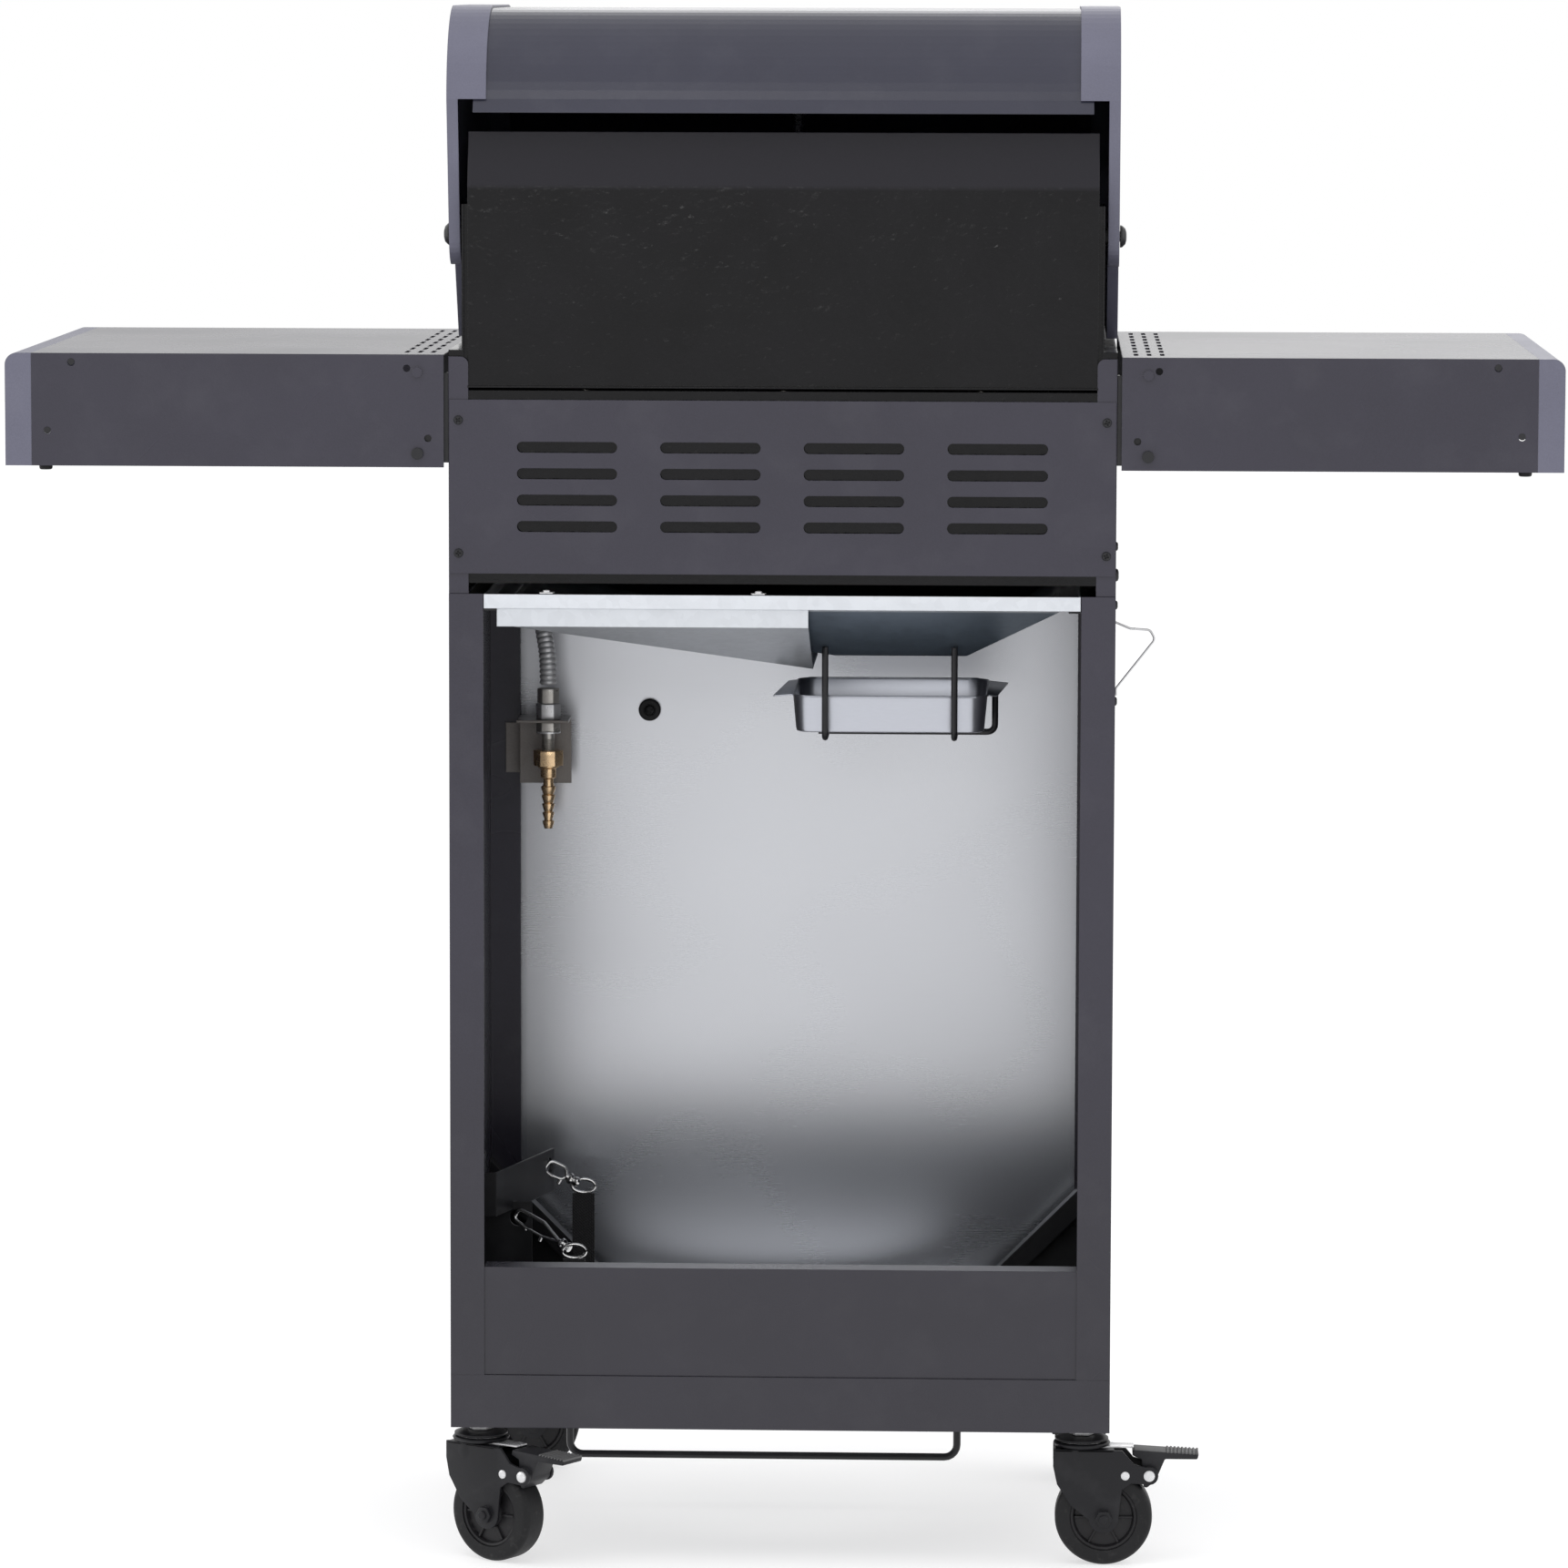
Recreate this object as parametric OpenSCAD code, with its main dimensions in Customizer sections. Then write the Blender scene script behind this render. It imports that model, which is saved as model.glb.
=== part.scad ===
// Gas barbecue grill on a cart with four swivel casters.
// Millimetres, +Z up, front towards -Y, back towards +Y.
// The origin is on the floor, in the middle of the space the grill takes.

/* [Cart] */
// Width over the cart's side panels
cart_w = 506; // [440:1:620]
// Depth from the back flanges to the front flanges
cart_d = 405; // [380:1:500]
// Height of the side panels
cart_h = 602; // [500:1:740]
// Height of the base pan
base_h = 41; // [30:1:60]
// Thickness of the folded sheet parts
sheet = 1.5; // [1:0.1:2]
// Width of the flanges folded in along the side panels
post_flange = 26; // [18:1:32]
// Height of the lower back rail
rail_h = 84; // [50:1:120]
// Depth of the fold along the top of the back rail
rail_fold = 25; // [10:1:40]
// Leg of the triangular gussets at the front corners
gusset_leg = 105; // [60:1:130]
// Diameter of the gas bottle opening in the base pan
bottle_d = 280; // [200:2:290]
// Sideways offset of the bottle opening
bottle_x = 20; // [0:1:30]
// Depth of the wire cradle below the base pan
cradle_drop = 64; // [40:1:70]
// Diameter of the cradle wire
cradle_wire = 6; // [4:0.5:8]

/* [Grill head] */
// Height of the side frames above the cart
head_h = 180; // [150:1:240]
// Clearance between the firebox walls and the outside of the side frames
firebox_gap = 10; // [8:0.5:20]
// Gap below the slotted back panel
vent_gap = 15.5; // [10:0.5:24]
// Length of one air slot
slot_l = 76; // [40:1:90]
// Height of one air slot
slot_h = 8.3; // [5:0.1:12]
// Clearance between the enamelled back wall and the firebox's outside
baffle_in = 4.5; // [3:0.5:10]
// Height of the enamelled back wall
baffle_h = 152; // [100:1:170]
// Height of the folded strip on top of the back wall
baffle_strip = 41; // [20:1:50]
// Depth of the control panel
panel_d = 25; // [20:1:40]
// Spacing of the control knobs
knob_pitch = 150; // [120:1:170]
// Diameter of a control knob
knob_d = 46; // [34:1:60]
// Push travel of a knob
knob_push = 3; // [2:0.5:4]
// Diameter of a burner tube
burner_d = 30; // [22:1:36]

/* [Lid] */
// How far the lid's end caps stand out past the side frames
lid_over = 1; // [0.5:0.1:2]
// Height of the lid's top above the side frames
lid_rise = 264; // [240:1:320]
// Radius of the lid's back edge
lid_back_r = 70; // [50:1:90]
// Radius of the lid's front edge
lid_front_r = 180; // [120:1:200]
// Width of the end caps' rim
cap_rim = 30; // [20:1:40]
// Distance of the lid pivot in front of the back face
pivot_in = 45; // [40:1:60]
// Height of the lid pivot above the side frames
pivot_rise = 91; // [80:1:110]
// Radius of the lobe round the lid pivot
lobe_r = 23; // [16:1:26]
// Length of the lid's handle bar
handle_l = 430; // [250:1:440]

/* [Side shelves] */
// Length of one shelf with its end cap
shelf_l = 333.5; // [250:0.5:400]
// Height of the shelf's fascia
shelf_h = 85.5; // [70:0.5:100]
// Length of the shelf's end cap
shelf_cap = 20; // [12:1:30]
// Gap between the shelf and the side frame
shelf_gap = 3.5; // [3:0.1:6]
// Distance of the shelf hinge from the shelf's inner end
hinge_in = 20; // [18:0.5:24]
// Height of the shelf hinge above the fascia's lower edge
hinge_up = 10.5; // [9:0.5:14]

/* [Grease tray] */
// Height of the tray's rim
tray_rim = 11; // [8:0.5:16]
// Sideways place of the drain
drain_x = -88; // [-110:1:-60]
// Distance of the drain in front of the back face
drain_in = 187; // [150:1:220]
// Depth of the tray's funnel
funnel_h = 47; // [30:1:60]
// Width of the drip cup
cup_w = 152; // [100:1:170]
// Depth of the drip cup
cup_d = 150; // [100:1:170]
// Height of the drip cup
cup_h = 30; // [20:1:40]

/* [Casters] */
// Diameter of a wheel
wheel_d = 75; // [60:1:90]
// Width of a wheel
wheel_w = 24; // [18:1:30]
// Height of a caster above its wheel
caster_rise = 32; // [30:1:45]
// Distance from the stem to the wheel's axle
trail = 17; // [12:1:24]
// Distance of a stem from the cart's side
stem_in_x = 21; // [18:1:30]
// Distance of a stem from the cart's back or front
stem_in_y = 30; // [24:1:40]
// Turn of the back left caster
turned_caster = -34; // [-60:1:60]

/* [Fits] */
// Radial clearance of pins and shafts that turn in a bore
run_fit = 0.05; // [0.02:0.01:0.1]
// Clearance between sliding or passing parts
pass_gap = 0.6; // [0.4:0.1:1]

/* [Hidden] */
$fn = 48;
front_reach = 65;
back_reach = 38;
back_y = (cart_d + front_reach - back_reach) / 2;
front_y = back_y - cart_d;
half_w = cart_w / 2;
caster_h = wheel_d + caster_rise;
base_z = caster_h;
floor_z = base_z + base_h;
cart_top = floor_z + cart_h;
head_top = cart_top + head_h;
post_in = half_w - post_flange;
wall_in = half_w - sheet;

firebox_back = back_y - 3.2;
firebox_front = front_y + 25;
firebox_top = head_top + 6;
firebox_low = cart_top + 8;
firebox_half = half_w - firebox_gap;
vent_h = head_h - 48;
vent_low = cart_top + vent_gap;
vent_top = vent_low + vent_h;
slot_pitch_x = 108.7;
slot_pitch_z = 20.05;
baffle_low = vent_top + 9;
baffle_top = baffle_low + baffle_h;

pivot_y = back_y - pivot_in;
pivot_z = head_top + pivot_rise;
lid_top = head_top + lid_rise;
lid_low = head_top + 10;
lid_front = front_y - 10;
lid_half = half_w + lid_over;
cap_t = 2;
side_rim = 8.5;
hem_out = 5;
hem_h = 10;
handle_z = lid_low + 60;
handle_gap = 42;
handle_d = 24;
dial_rise = 35;

panel_front = front_y - panel_d;
panel_low = cart_top + 5;
panel_top = head_top + 3;
knob_z = head_top - 85;
knob_x = [-knob_pitch, 0, knob_pitch];
pipe_y = front_y + 11;
stem_d = 7;
bezel_t = 2.5;
knob_back = panel_front - bezel_t - knob_push - 0.5;
knob_l = 26;

door_half = half_w - 3;
door_back = front_y - 3;
door_t = 18;
door_front = door_back - door_t;
door_low = floor_z + 3;
door_top = cart_top - 5;
door_pin_x = -(door_half - 7);
door_pin_y = door_back - door_t / 2;
door_pin_d = 8;
door_handle_z = door_top - 125;
door_handle_x = 122.5;

tray_half = post_in - pass_gap;
tray_top = cart_top;
tray_low = tray_top - tray_rim;
tray_front = front_y + 32;
drain_y = back_y - drain_in;
drain_half = 51;
funnel_half = tray_half - 14;
drain_z = tray_low - funnel_h;
shield_drop = 13;
shield_from = -20;
cup_x = drain_x + 8;
cup_z = drain_z - 59;
hanger_d = 5;
hanger_half = 50;
cup_top = cup_z + cup_h;

shelf_in = half_w + shelf_gap;
shelf_out = shelf_in + shelf_l;
shelf_top = head_top + 1.5;
shelf_low = shelf_top - shelf_h;
shelf_back = back_y + 1;
shelf_front = front_y + 1;
shelf_lip = 12;
shelf_notch = 40;
hinge_x = shelf_in + hinge_in;
hinge_z = shelf_low + hinge_up;
hinge_d = 5;

stem_x = half_w - stem_in_x;
back_stem_y = back_y - stem_in_y;
front_stem_y = front_y + stem_in_y;
wheel_r = wheel_d / 2;
fork_top = caster_h - 10;
fork_t = 2.5;
fork_half = wheel_w / 2 + 1.2;
axle_d = 8;
pedal_in = wheel_r + 14.5;
pedal_z = wheel_r + 33.5;
pedal_l = 37;
stem_rod = 10;
// Place of each caster: x, y, turn about its stem, and 1 where it has a brake
CASTERS = [
    [-stem_x, back_stem_y, 0, 1],
    [stem_x, back_stem_y, turned_caster, 1],
    [-stem_x, front_stem_y, -90, 0],
    [stem_x, front_stem_y, 0, 0]
];

// Gas inlet on the bracket inside the left front post
inlet = [half_w - 52, front_y + 52, cart_top - 133];
bracket_w = 42;
bracket_h = 53;
hose_d = 12;

// Strap bracket on the left side panel, and the strap that hangs from it
bracket_y = back_y - 250;
fold_y = back_y - 215;
fold_x = wall_in - 17;
tip = [wall_in - 54, fold_y - 124];
plate_low = floor_z + 87;
plate_high = floor_z + 122;
strap_x = wall_in - 89;
strap_w = 18;
strap_t = 2;
strap_top = [back_y - 335, floor_z + 86];
strap_end = [back_y - 210, floor_z + 54];
strap_lay = 1.5;
strap_turn = 11;

paint = "#48464f";
cap_grey = "#7a7985";
enamel = "#1d1c1f";
black = "#232326";
zinc = "#c3c6ca";
cast = "#303032";
brass = "#b8935a";

// Helpers

function unit(v) = v / norm(v);
function reverse(list) = [for (i = [len(list) - 1 : -1 : 0]) list[i]];
function arc(cx, cy, r, from, to, steps = 12) =
    [for (i = [0 : steps]) let (a = from + (to - from) * i / steps) [cx + r * cos(a), cy + r * sin(a)]];

// A corner of a path replaced by an arc of radius r
function corner(a, b, c, r, steps) =
    let (
        u = unit(a - b),
        v = unit(c - b),
        half = acos(u * v) / 2,
        centre = b + unit(u + v) * r / sin(half),
        d0 = unit(b + u * r / tan(half) - centre),
        d1 = unit(b + v * r / tan(half) - centre),
        turn = 180 - 2 * half
    )
    [for (i = [0 : steps]) let (t = i / steps)
        centre + r * (sin((1 - t) * turn) * d0 + sin(t * turn) * d1) / sin(turn)];

function bent(points, r, steps = 5) = [
    points[0],
    for (i = [1 : len(points) - 2]) each corner(points[i - 1], points[i], points[i + 1], r, steps),
    points[len(points) - 1]
];

// A round wire along a path that lies in the plane with normal n
module wire(path, d, n, sides = 8) {
    last = len(path) - 1;
    rings = [
        for (i = [0 : last])
            let (
                t = unit(path[min(i + 1, last)] - path[max(i - 1, 0)]),
                s = unit(cross(n, t))
            )
            for (k = [0 : sides - 1])
                path[i] + d / 2 * (cos(360 * k / sides) * s + sin(360 * k / sides) * n)
    ];
    walls = [
        for (i = [0 : last - 1])
            for (k = [0 : sides - 1])
                let (m = (k + 1) % sides)
                [i * sides + k, (i + 1) * sides + k, (i + 1) * sides + m, i * sides + m]
    ];
    start = [for (k = [0 : sides - 1]) k];
    end = [for (k = [sides - 1 : -1 : 0]) last * sides + k];
    polyhedron(rings, concat(walls, [start, end]));
}

module rod(a, b, d) {
    v = b - a;
    translate(a)
        rotate([0, acos(v[2] / norm(v)), atan2(v[1], v[0])])
            cylinder(h = norm(v), d = d);
}

// A box given by its lowest and highest corners
module block(low, high) {
    translate(low) cube(high - low);
}

module along_x(x0, x1) {
    translate([x0, 0, 0]) rotate([90, 0, 90]) linear_extrude(x1 - x0) children();
}

module along_y(y0, y1) {
    translate([0, y1, 0]) rotate([90, 0, 0]) linear_extrude(y1 - y0) children();
}

module both_sides() {
    children();
    mirror([1, 0, 0]) children();
}

module round_rect(size, r) {
    hull()
        for (x = [r, size[0] - r], y = [r, size[1] - r])
            translate([x, y]) circle(r);
}

// Cart

module base_pan() {
    color(paint) difference() {
        block([-half_w, front_y, base_z], [half_w, back_y, floor_z]);
        block([-wall_in, front_y + sheet, base_z - 1], [wall_in, back_y - sheet, floor_z - sheet]);
        translate([bottle_x, (front_y + back_y) / 2, floor_z - 5]) cylinder(h = 10, d = bottle_d, $fn = 96);
        for (x = [-125, -153, -181], row = [0 : 5])
            translate([x, back_y - 50 - 28 * row, floor_z - 5]) cylinder(h = 10, d = 8, $fn = 24);
        for (c = CASTERS)
            translate([c[0], c[1], floor_z - 5]) cylinder(h = 10, d = stem_rod, $fn = 32);
    }
}

module side_panels() {
    color(paint) both_sides() {
        difference() {
            block([post_in, front_y, floor_z], [half_w, back_y, cart_top]);
            block([post_in - 1, front_y + sheet, floor_z - 1], [wall_in, back_y - sheet, cart_top + 1]);
        }
    }
}

module back_rail() {
    color(paint) difference() {
        block([-post_in, back_y - rail_fold, floor_z], [post_in, back_y - sheet, floor_z + rail_h]);
        block([-post_in - 1, back_y - rail_fold - 1, floor_z - 1],
            [post_in + 1, back_y - 2 * sheet, floor_z + rail_h - sheet]);
    }
    // Tabs folded back against the post flanges
    color(paint) both_sides()
        block([post_in, back_y - 2 * sheet, floor_z], [wall_in, back_y - sheet, floor_z + rail_h]);
}

module front_rail() {
    color(paint) union() {
        block([-wall_in, front_y + sheet, cart_top - 45], [wall_in, front_y + 2 * sheet, cart_top - 2]);
        block([-wall_in, front_y + sheet, cart_top - 45], [wall_in, front_y + 14, cart_top - 45 + sheet]);
    }
}

module corner_gussets() {
    y = front_y + sheet;
    color(black) both_sides()
        difference() {
            translate([0, y + 20, 0]) rotate([90, 0, 0]) linear_extrude(20)
                polygon([
                    [wall_in, floor_z], [wall_in, floor_z + gusset_leg], [wall_in - gusset_leg, floor_z]
                ]);
            translate([0, y + 21, 0]) rotate([90, 0, 0]) linear_extrude(21 - sheet)
                polygon([
                    [wall_in + 9, floor_z - 9],
                    [wall_in + 9, floor_z + gusset_leg - 2.5 * sheet - 9],
                    [wall_in - gusset_leg + 2.5 * sheet + 9, floor_z - 9]
                ]);
        }
}

module bottle_cradle() {
    reach = bottle_d / 2 + 14;
    mid_y = (front_y + back_y) / 2;
    low = base_z - cradle_drop + cradle_wire / 2;
    high = floor_z - sheet;
    x0 = bottle_x - reach;
    x1 = bottle_x + reach;
    color(black)
        wire(
            bent([[x0, mid_y, high], [x0, mid_y, low], [x1, mid_y, low], [x1, mid_y, high]], 10),
            cradle_wire, [0, 1, 0]
        );
}

module caster_stems() {
    color(zinc)
        for (c = CASTERS)
            translate([c[0], c[1], 0]) {
                translate([0, 0, fork_top - 6]) cylinder(h = floor_z + 8 - fork_top + 6, d = stem_rod);
                translate([0, 0, fork_top + 3.5]) cylinder(h = base_z - fork_top - 3.5, d = 19, $fn = 6);
                translate([0, 0, base_z]) cylinder(h = base_h - sheet, d = 16);
            }
}

// Grill head

module side_frames() {
    color(paint) both_sides() {
        block([wall_in, front_y, cart_top], [half_w, back_y - 1.2, head_top]);
        // Back flange with a rounded top corner
        along_y(back_y - 1.2 - sheet, back_y - 1.2)
            difference() {
                translate([half_w - 15, cart_top]) square([15, head_h]);
                translate([half_w - 15, head_top - 6]) difference() {
                    translate([-1, 0]) square([7, 7]);
                    translate([6, 0]) circle(6);
                }
            }
        block([half_w - 15, front_y, cart_top], [half_w, front_y + sheet, head_top]);
        // Foot flange that stands on the cart
        block([half_w - 15, front_y, cart_top], [half_w, back_y - 1.2, cart_top + sheet]);
    }
}

module vent_panel() {
    mid = (vent_low + vent_top) / 2;
    color(paint) difference() {
        block([-half_w + 0.5, back_y - 1.2, vent_low], [half_w - 0.5, back_y, vent_top]);
        for (i = [-1.5 : 1.5], j = [-1.5 : 1.5])
            translate([slot_pitch_x * i, back_y + 1, mid + slot_pitch_z * j])
                rotate([90, 0, 0]) linear_extrude(4) {
                    square([slot_l - slot_h, slot_h], center = true);
                    for (s = [-1, 1]) translate([s * (slot_l - slot_h) / 2, 0]) circle(d = slot_h);
                }
    }
    // Folds along the top and bottom edges
    color(paint) for (z = [vent_low, vent_top - sheet])
        block([-half_w + 18, back_y - 1.2 - 1.5, z], [half_w - 18, back_y - 1.2, z + sheet]);
}

module firebox_side() {
    polygon([
        [firebox_front, firebox_low],
        [firebox_front, firebox_top],
        [pivot_y - 70, firebox_top],
        [pivot_y - 26, pivot_z + 24],
        [firebox_back, pivot_z + 24],
        [firebox_back, firebox_low]
    ]);
}

module firebox() {
    color(enamel) difference() {
        union() {
            both_sides() {
                along_x(firebox_half - sheet, firebox_half) firebox_side();
                // Flange that hangs on the side frames
                block([firebox_half, firebox_front, head_top], [half_w, back_y - 3.2, head_top + 5]);
                // Fold along the back edge that carries the back wall
                block([firebox_half - 14, firebox_back - 2 * sheet, baffle_low],
                    [firebox_half, firebox_back - sheet, pivot_z + 24]);
            }
            block([-firebox_half, firebox_front, firebox_low],
                [firebox_half, firebox_front + sheet, firebox_top]);
            block([-firebox_half, firebox_back - sheet, firebox_low],
                [firebox_half, firebox_back, baffle_low - 2]);
            // Ledges that carry the grates
            for (y = [firebox_front + sheet, firebox_back - sheet - 10])
                block([-firebox_half + sheet, y, head_top - 16], [firebox_half - sheet, y + 10, head_top - 14]);
        }
        for (x = knob_x)
            translate([x, firebox_front + 10, knob_z]) rotate([90, 0, 0]) cylinder(h = 20, d = burner_d + 2);
        both_sides()
            translate([firebox_half - 10, pivot_y, pivot_z]) rotate([0, 90, 0]) cylinder(h = 20, d = 8);
    }
}

module back_wall() {
    y = firebox_back;
    lean = 12;
    half = firebox_half - baffle_in;
    color(enamel) along_x(-half, half)
        polygon([
            [y + 2.5, baffle_low],
            [y + 2.5, baffle_low + sheet],
            [y, baffle_low + sheet],
            [y, baffle_top],
            [y - lean, baffle_top + baffle_strip],
            [y - lean - sheet, baffle_top + baffle_strip],
            [y - sheet, baffle_top],
            [y - sheet, baffle_low]
        ]);
}

module control_panel() {
    color(paint) difference() {
        block([-half_w, panel_front, panel_low], [half_w, front_y - 0.2, panel_top]);
        block([-wall_in, panel_front + sheet, panel_low + sheet], [wall_in, front_y, panel_top - sheet]);
        // The bottom fold stops short of the side frames
        block([-wall_in, front_y - 4, panel_low - 1], [wall_in, front_y, panel_low + 9]);
        for (x = knob_x)
            translate([x, panel_front + 5, knob_z]) rotate([90, 0, 0]) cylinder(h = 10, d = 14);
    }
    // Tabs that bolt to the side frames' front flanges
    color(paint) both_sides()
        block([half_w - 15, front_y - sheet - 0.2, panel_top - 40], [half_w - 1, front_y, panel_top - 10]);
}

module knob_bezels() {
    color(zinc)
        for (x = knob_x)
            translate([x, panel_front, knob_z]) rotate([90, 0, 0]) difference() {
                cylinder(h = bezel_t, d = knob_d + 16);
                translate([0, 0, -1]) cylinder(h = bezel_t + 2, d = 18);
            }
}

module gas_manifold() {
    valve_back = pipe_y + 10;
    valve_front = pipe_y - 20;
    color(zinc) difference() {
        union() {
            translate([-knob_pitch - 30, pipe_y, knob_z]) rotate([0, 90, 0])
                cylinder(h = 2 * knob_pitch + 80, d = 16);
            for (x = knob_x) {
                block([x - 12, valve_front, knob_z - 15], [x + 12, valve_back, knob_z + 15]);
                translate([x, valve_back + 12, knob_z]) rotate([90, 0, 0]) cylinder(h = 13, d = 8);
            }
        }
        for (x = knob_x)
            translate([x, valve_front + 14, knob_z]) rotate([90, 0, 0])
                cylinder(h = 20, d = stem_d + 2 * run_fit);
    }
}

module burners() {
    y0 = firebox_front - 2;
    y1 = firebox_back - 30;
    color(zinc)
        for (x = knob_x)
            difference() {
                union() {
                    translate([x, y1, knob_z]) rotate([90, 0, 0]) cylinder(h = y1 - y0, d = burner_d);
                    // Flat foot that screws to the back wall
                    block([x - 8, y1 - 5, knob_z - 2], [x + 8, firebox_back - sheet, knob_z + 2]);
                }
                translate([x, y1 - 12, knob_z]) rotate([90, 0, 0])
                    cylinder(h = y1 - y0, d = burner_d - 2.4);
                for (i = [0 : 11], s = [-1, 1])
                    translate([x, y1 - 30 - 24 * i, knob_z]) rotate([0, 60 * s, 0])
                        cylinder(h = burner_d, d = 3, $fn = 16);
            }
}

module flame_tamers() {
    z = knob_z + 34;
    span = 52;
    y0 = firebox_front + sheet + 10;
    y1 = firebox_back - sheet - 10;
    color(zinc)
        for (x = knob_x)
            along_y(y0, y1)
                polygon([
                    [x - span, z], [x, z + 26], [x + span, z],
                    [x + span, z - sheet], [x, z + 26 - sheet], [x - span, z - sheet]
                ]);
    // Pegs in the firebox's front and back walls that carry the tamers
    color(zinc)
        for (x = knob_x, s = [-1, 1], y = [y0 - 10, y1 - 8])
            translate([x + s * (span - 2), y, z - sheet - 2.5]) rotate([-90, 0, 0]) cylinder(h = 18, d = 5);
}

module cooking_grates() {
    bars = 12;
    half = firebox_half - sheet - 2;
    y0 = firebox_front + sheet + 1;
    y1 = firebox_back - 2 * sheet - 0.5;
    w = half - 1;
    z = head_top - 14;
    pitch = (w - 7) / bars;
    color(cast)
        for (s = [-1, 0])
            translate([s == 0 ? 1 : -half, 0, z]) {
                for (y = [y0, (y0 + y1) / 2 - 4, y1 - 8]) block([0, y, 0], [w, y + 8, 9]);
                for (i = [0 : bars]) block([pitch * i, y0, 0], [pitch * i + 7, y1, 12]);
            }
}

module warming_rack() {
    half = firebox_half - sheet - 12;
    y0 = pivot_y - 190;
    y1 = pivot_y - 10;
    z = pivot_z - 22;
    foot = firebox_top;
    color(zinc) {
        rod([-half, y0, z], [half, y0, z], 6);
        // The back rod reaches the firebox's side walls
        rod([-firebox_half + sheet, y1, z], [firebox_half - sheet, y1, z], 6);
        for (i = [-9 : 9])
            rod([i * half / 10, y0, z + 4], [i * half / 10, y1, z + 4], 4);
        // Bent legs that hook over the firebox's side walls
        for (s = [-1, 1])
            wire(
                bent([
                    [s * half, y1, z], [s * half, y0, z], [s * half, y0, foot + 3],
                    [s * half, y0 - 28, foot + 3]
                ], 9),
                6, [1, 0, 0]
            );
        both_sides()
            block([half - 3, y0 - 28, foot], [firebox_half, y0 - 4, foot + 4]);
    }
}

// Side shelves

module shelf_bracket_plate(y) {
    block([half_w, y, hinge_z - 7], [hinge_x + 19, y + 2.5, hinge_z + 61]);
    // Foot against the side frame
    block([half_w, y - 12, hinge_z - 7], [half_w + 2, y + 2.5, hinge_z + 61]);
}

module shelf_brackets() {
    back_plate = shelf_back - 1.2 - 4.5;
    front_plate = shelf_front + 1.2 + 2;
    color(black) both_sides() {
        shelf_bracket_plate(back_plate);
        mirror([0, 1, 0]) shelf_bracket_plate(-front_plate - 2.5);
        // Pivot studs with their heads outside the fascias
        translate([hinge_x, shelf_back + 3, hinge_z]) rotate([90, 0, 0])
            cylinder(h = shelf_back + 3 - back_plate, d = hinge_d);
        translate([hinge_x, shelf_back + 3, hinge_z]) rotate([90, 0, 0])
            cylinder(h = 3 - pass_gap, d = 9);
        translate([hinge_x, front_plate, hinge_z]) rotate([90, 0, 0])
            cylinder(h = front_plate - shelf_front + 3, d = hinge_d);
        translate([hinge_x, shelf_front - pass_gap, hinge_z]) rotate([90, 0, 0])
            cylinder(h = 3 - pass_gap, d = 9);
    }
}

module shelf() {
    t = 1.2;
    end = shelf_out - shelf_cap;
    slots = 8;
    // Heads of the lock screws above the hinge
    color(black) for (y = [shelf_back + 2, shelf_front])
        translate([hinge_x, y, shelf_low + 72]) rotate([90, 0, 0]) cylinder(h = 2, d = 8);
    color(paint) difference() {
        block([shelf_in, shelf_front, shelf_low], [end, shelf_back, shelf_top]);
        // Hollow below the top, open at both ends and underneath
        block([shelf_in - 1, shelf_front + t, shelf_low + t], [end + 1, shelf_back - t, shelf_top - t]);
        block([shelf_in - 1, shelf_front + shelf_lip, shelf_low - 1],
            [end + 1, shelf_back - shelf_lip, shelf_low + t + 1]);
        // Lips cut away round the hinge brackets
        block([shelf_in - 1, shelf_front + t, shelf_low - 1],
            [shelf_in + shelf_notch, shelf_back - t, shelf_low + t + 1]);
        // Pivot holes, lock holes and spare holes through both fascias
        translate([hinge_x, shelf_back + 1, hinge_z]) rotate([90, 0, 0])
            cylinder(h = cart_d + 2, d = hinge_d + 2 * run_fit);
        for (p = [[shelf_out - 50.5, 52 + 26.5], [shelf_out - 32, 26.5], [shelf_in + 28, 75], [shelf_in + 12, 22]])
            translate([p[0], shelf_back + 1, shelf_low + p[1]]) rotate([90, 0, 0])
                cylinder(h = cart_d + 2, d = 5.5, $fn = 32);
        // Cooling slots beside the grill head
        for (i = [0 : 2], j = [0 : slots - 1])
            translate([shelf_in + 9 + 10 * i, shelf_front + 28 + 46 * j, shelf_top - 5])
                linear_extrude(10) {
                    square([3.4, 26]);
                    translate([1.7, 0]) circle(1.7, $fn = 24);
                    translate([1.7, 26]) circle(1.7, $fn = 24);
                }
    }
}

module shelf_cap() {
    t = 2;
    r = 9;
    x0 = shelf_out - shelf_cap;
    color(cap_grey) difference() {
        along_y(shelf_front, shelf_back) hull() {
            translate([x0, shelf_low]) square([shelf_cap, shelf_h - r]);
            translate([x0, shelf_low]) square([shelf_cap - r, shelf_h]);
            translate([shelf_out - r, shelf_top - r]) circle(r);
        }
        along_y(shelf_front + t, shelf_back - t) hull() {
            translate([x0 - 1, shelf_low - 1]) square([shelf_cap - t + 1, shelf_h - r]);
            translate([x0 - 1, shelf_low]) square([shelf_cap - r, shelf_h - t]);
            translate([shelf_out - r, shelf_top - r]) circle(r - t);
        }
    }
}

module shelf_left() { shelf(); }
module shelf_right() { mirror([1, 0, 0]) shelf(); }
module shelf_cap_left() { shelf_cap(); }
module shelf_cap_right() { mirror([1, 0, 0]) shelf_cap(); }

// Grease tray

module tray_rails() {
    color(black) both_sides()
        difference() {
            block([tray_half - 9, tray_front, tray_low - 13], [wall_in, back_y - sheet, tray_low - 0.3]);
            block([tray_half - 10, tray_front - 1, tray_low - 14],
                [wall_in - sheet, back_y, tray_low - 0.3 - sheet]);
        }
}

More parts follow.
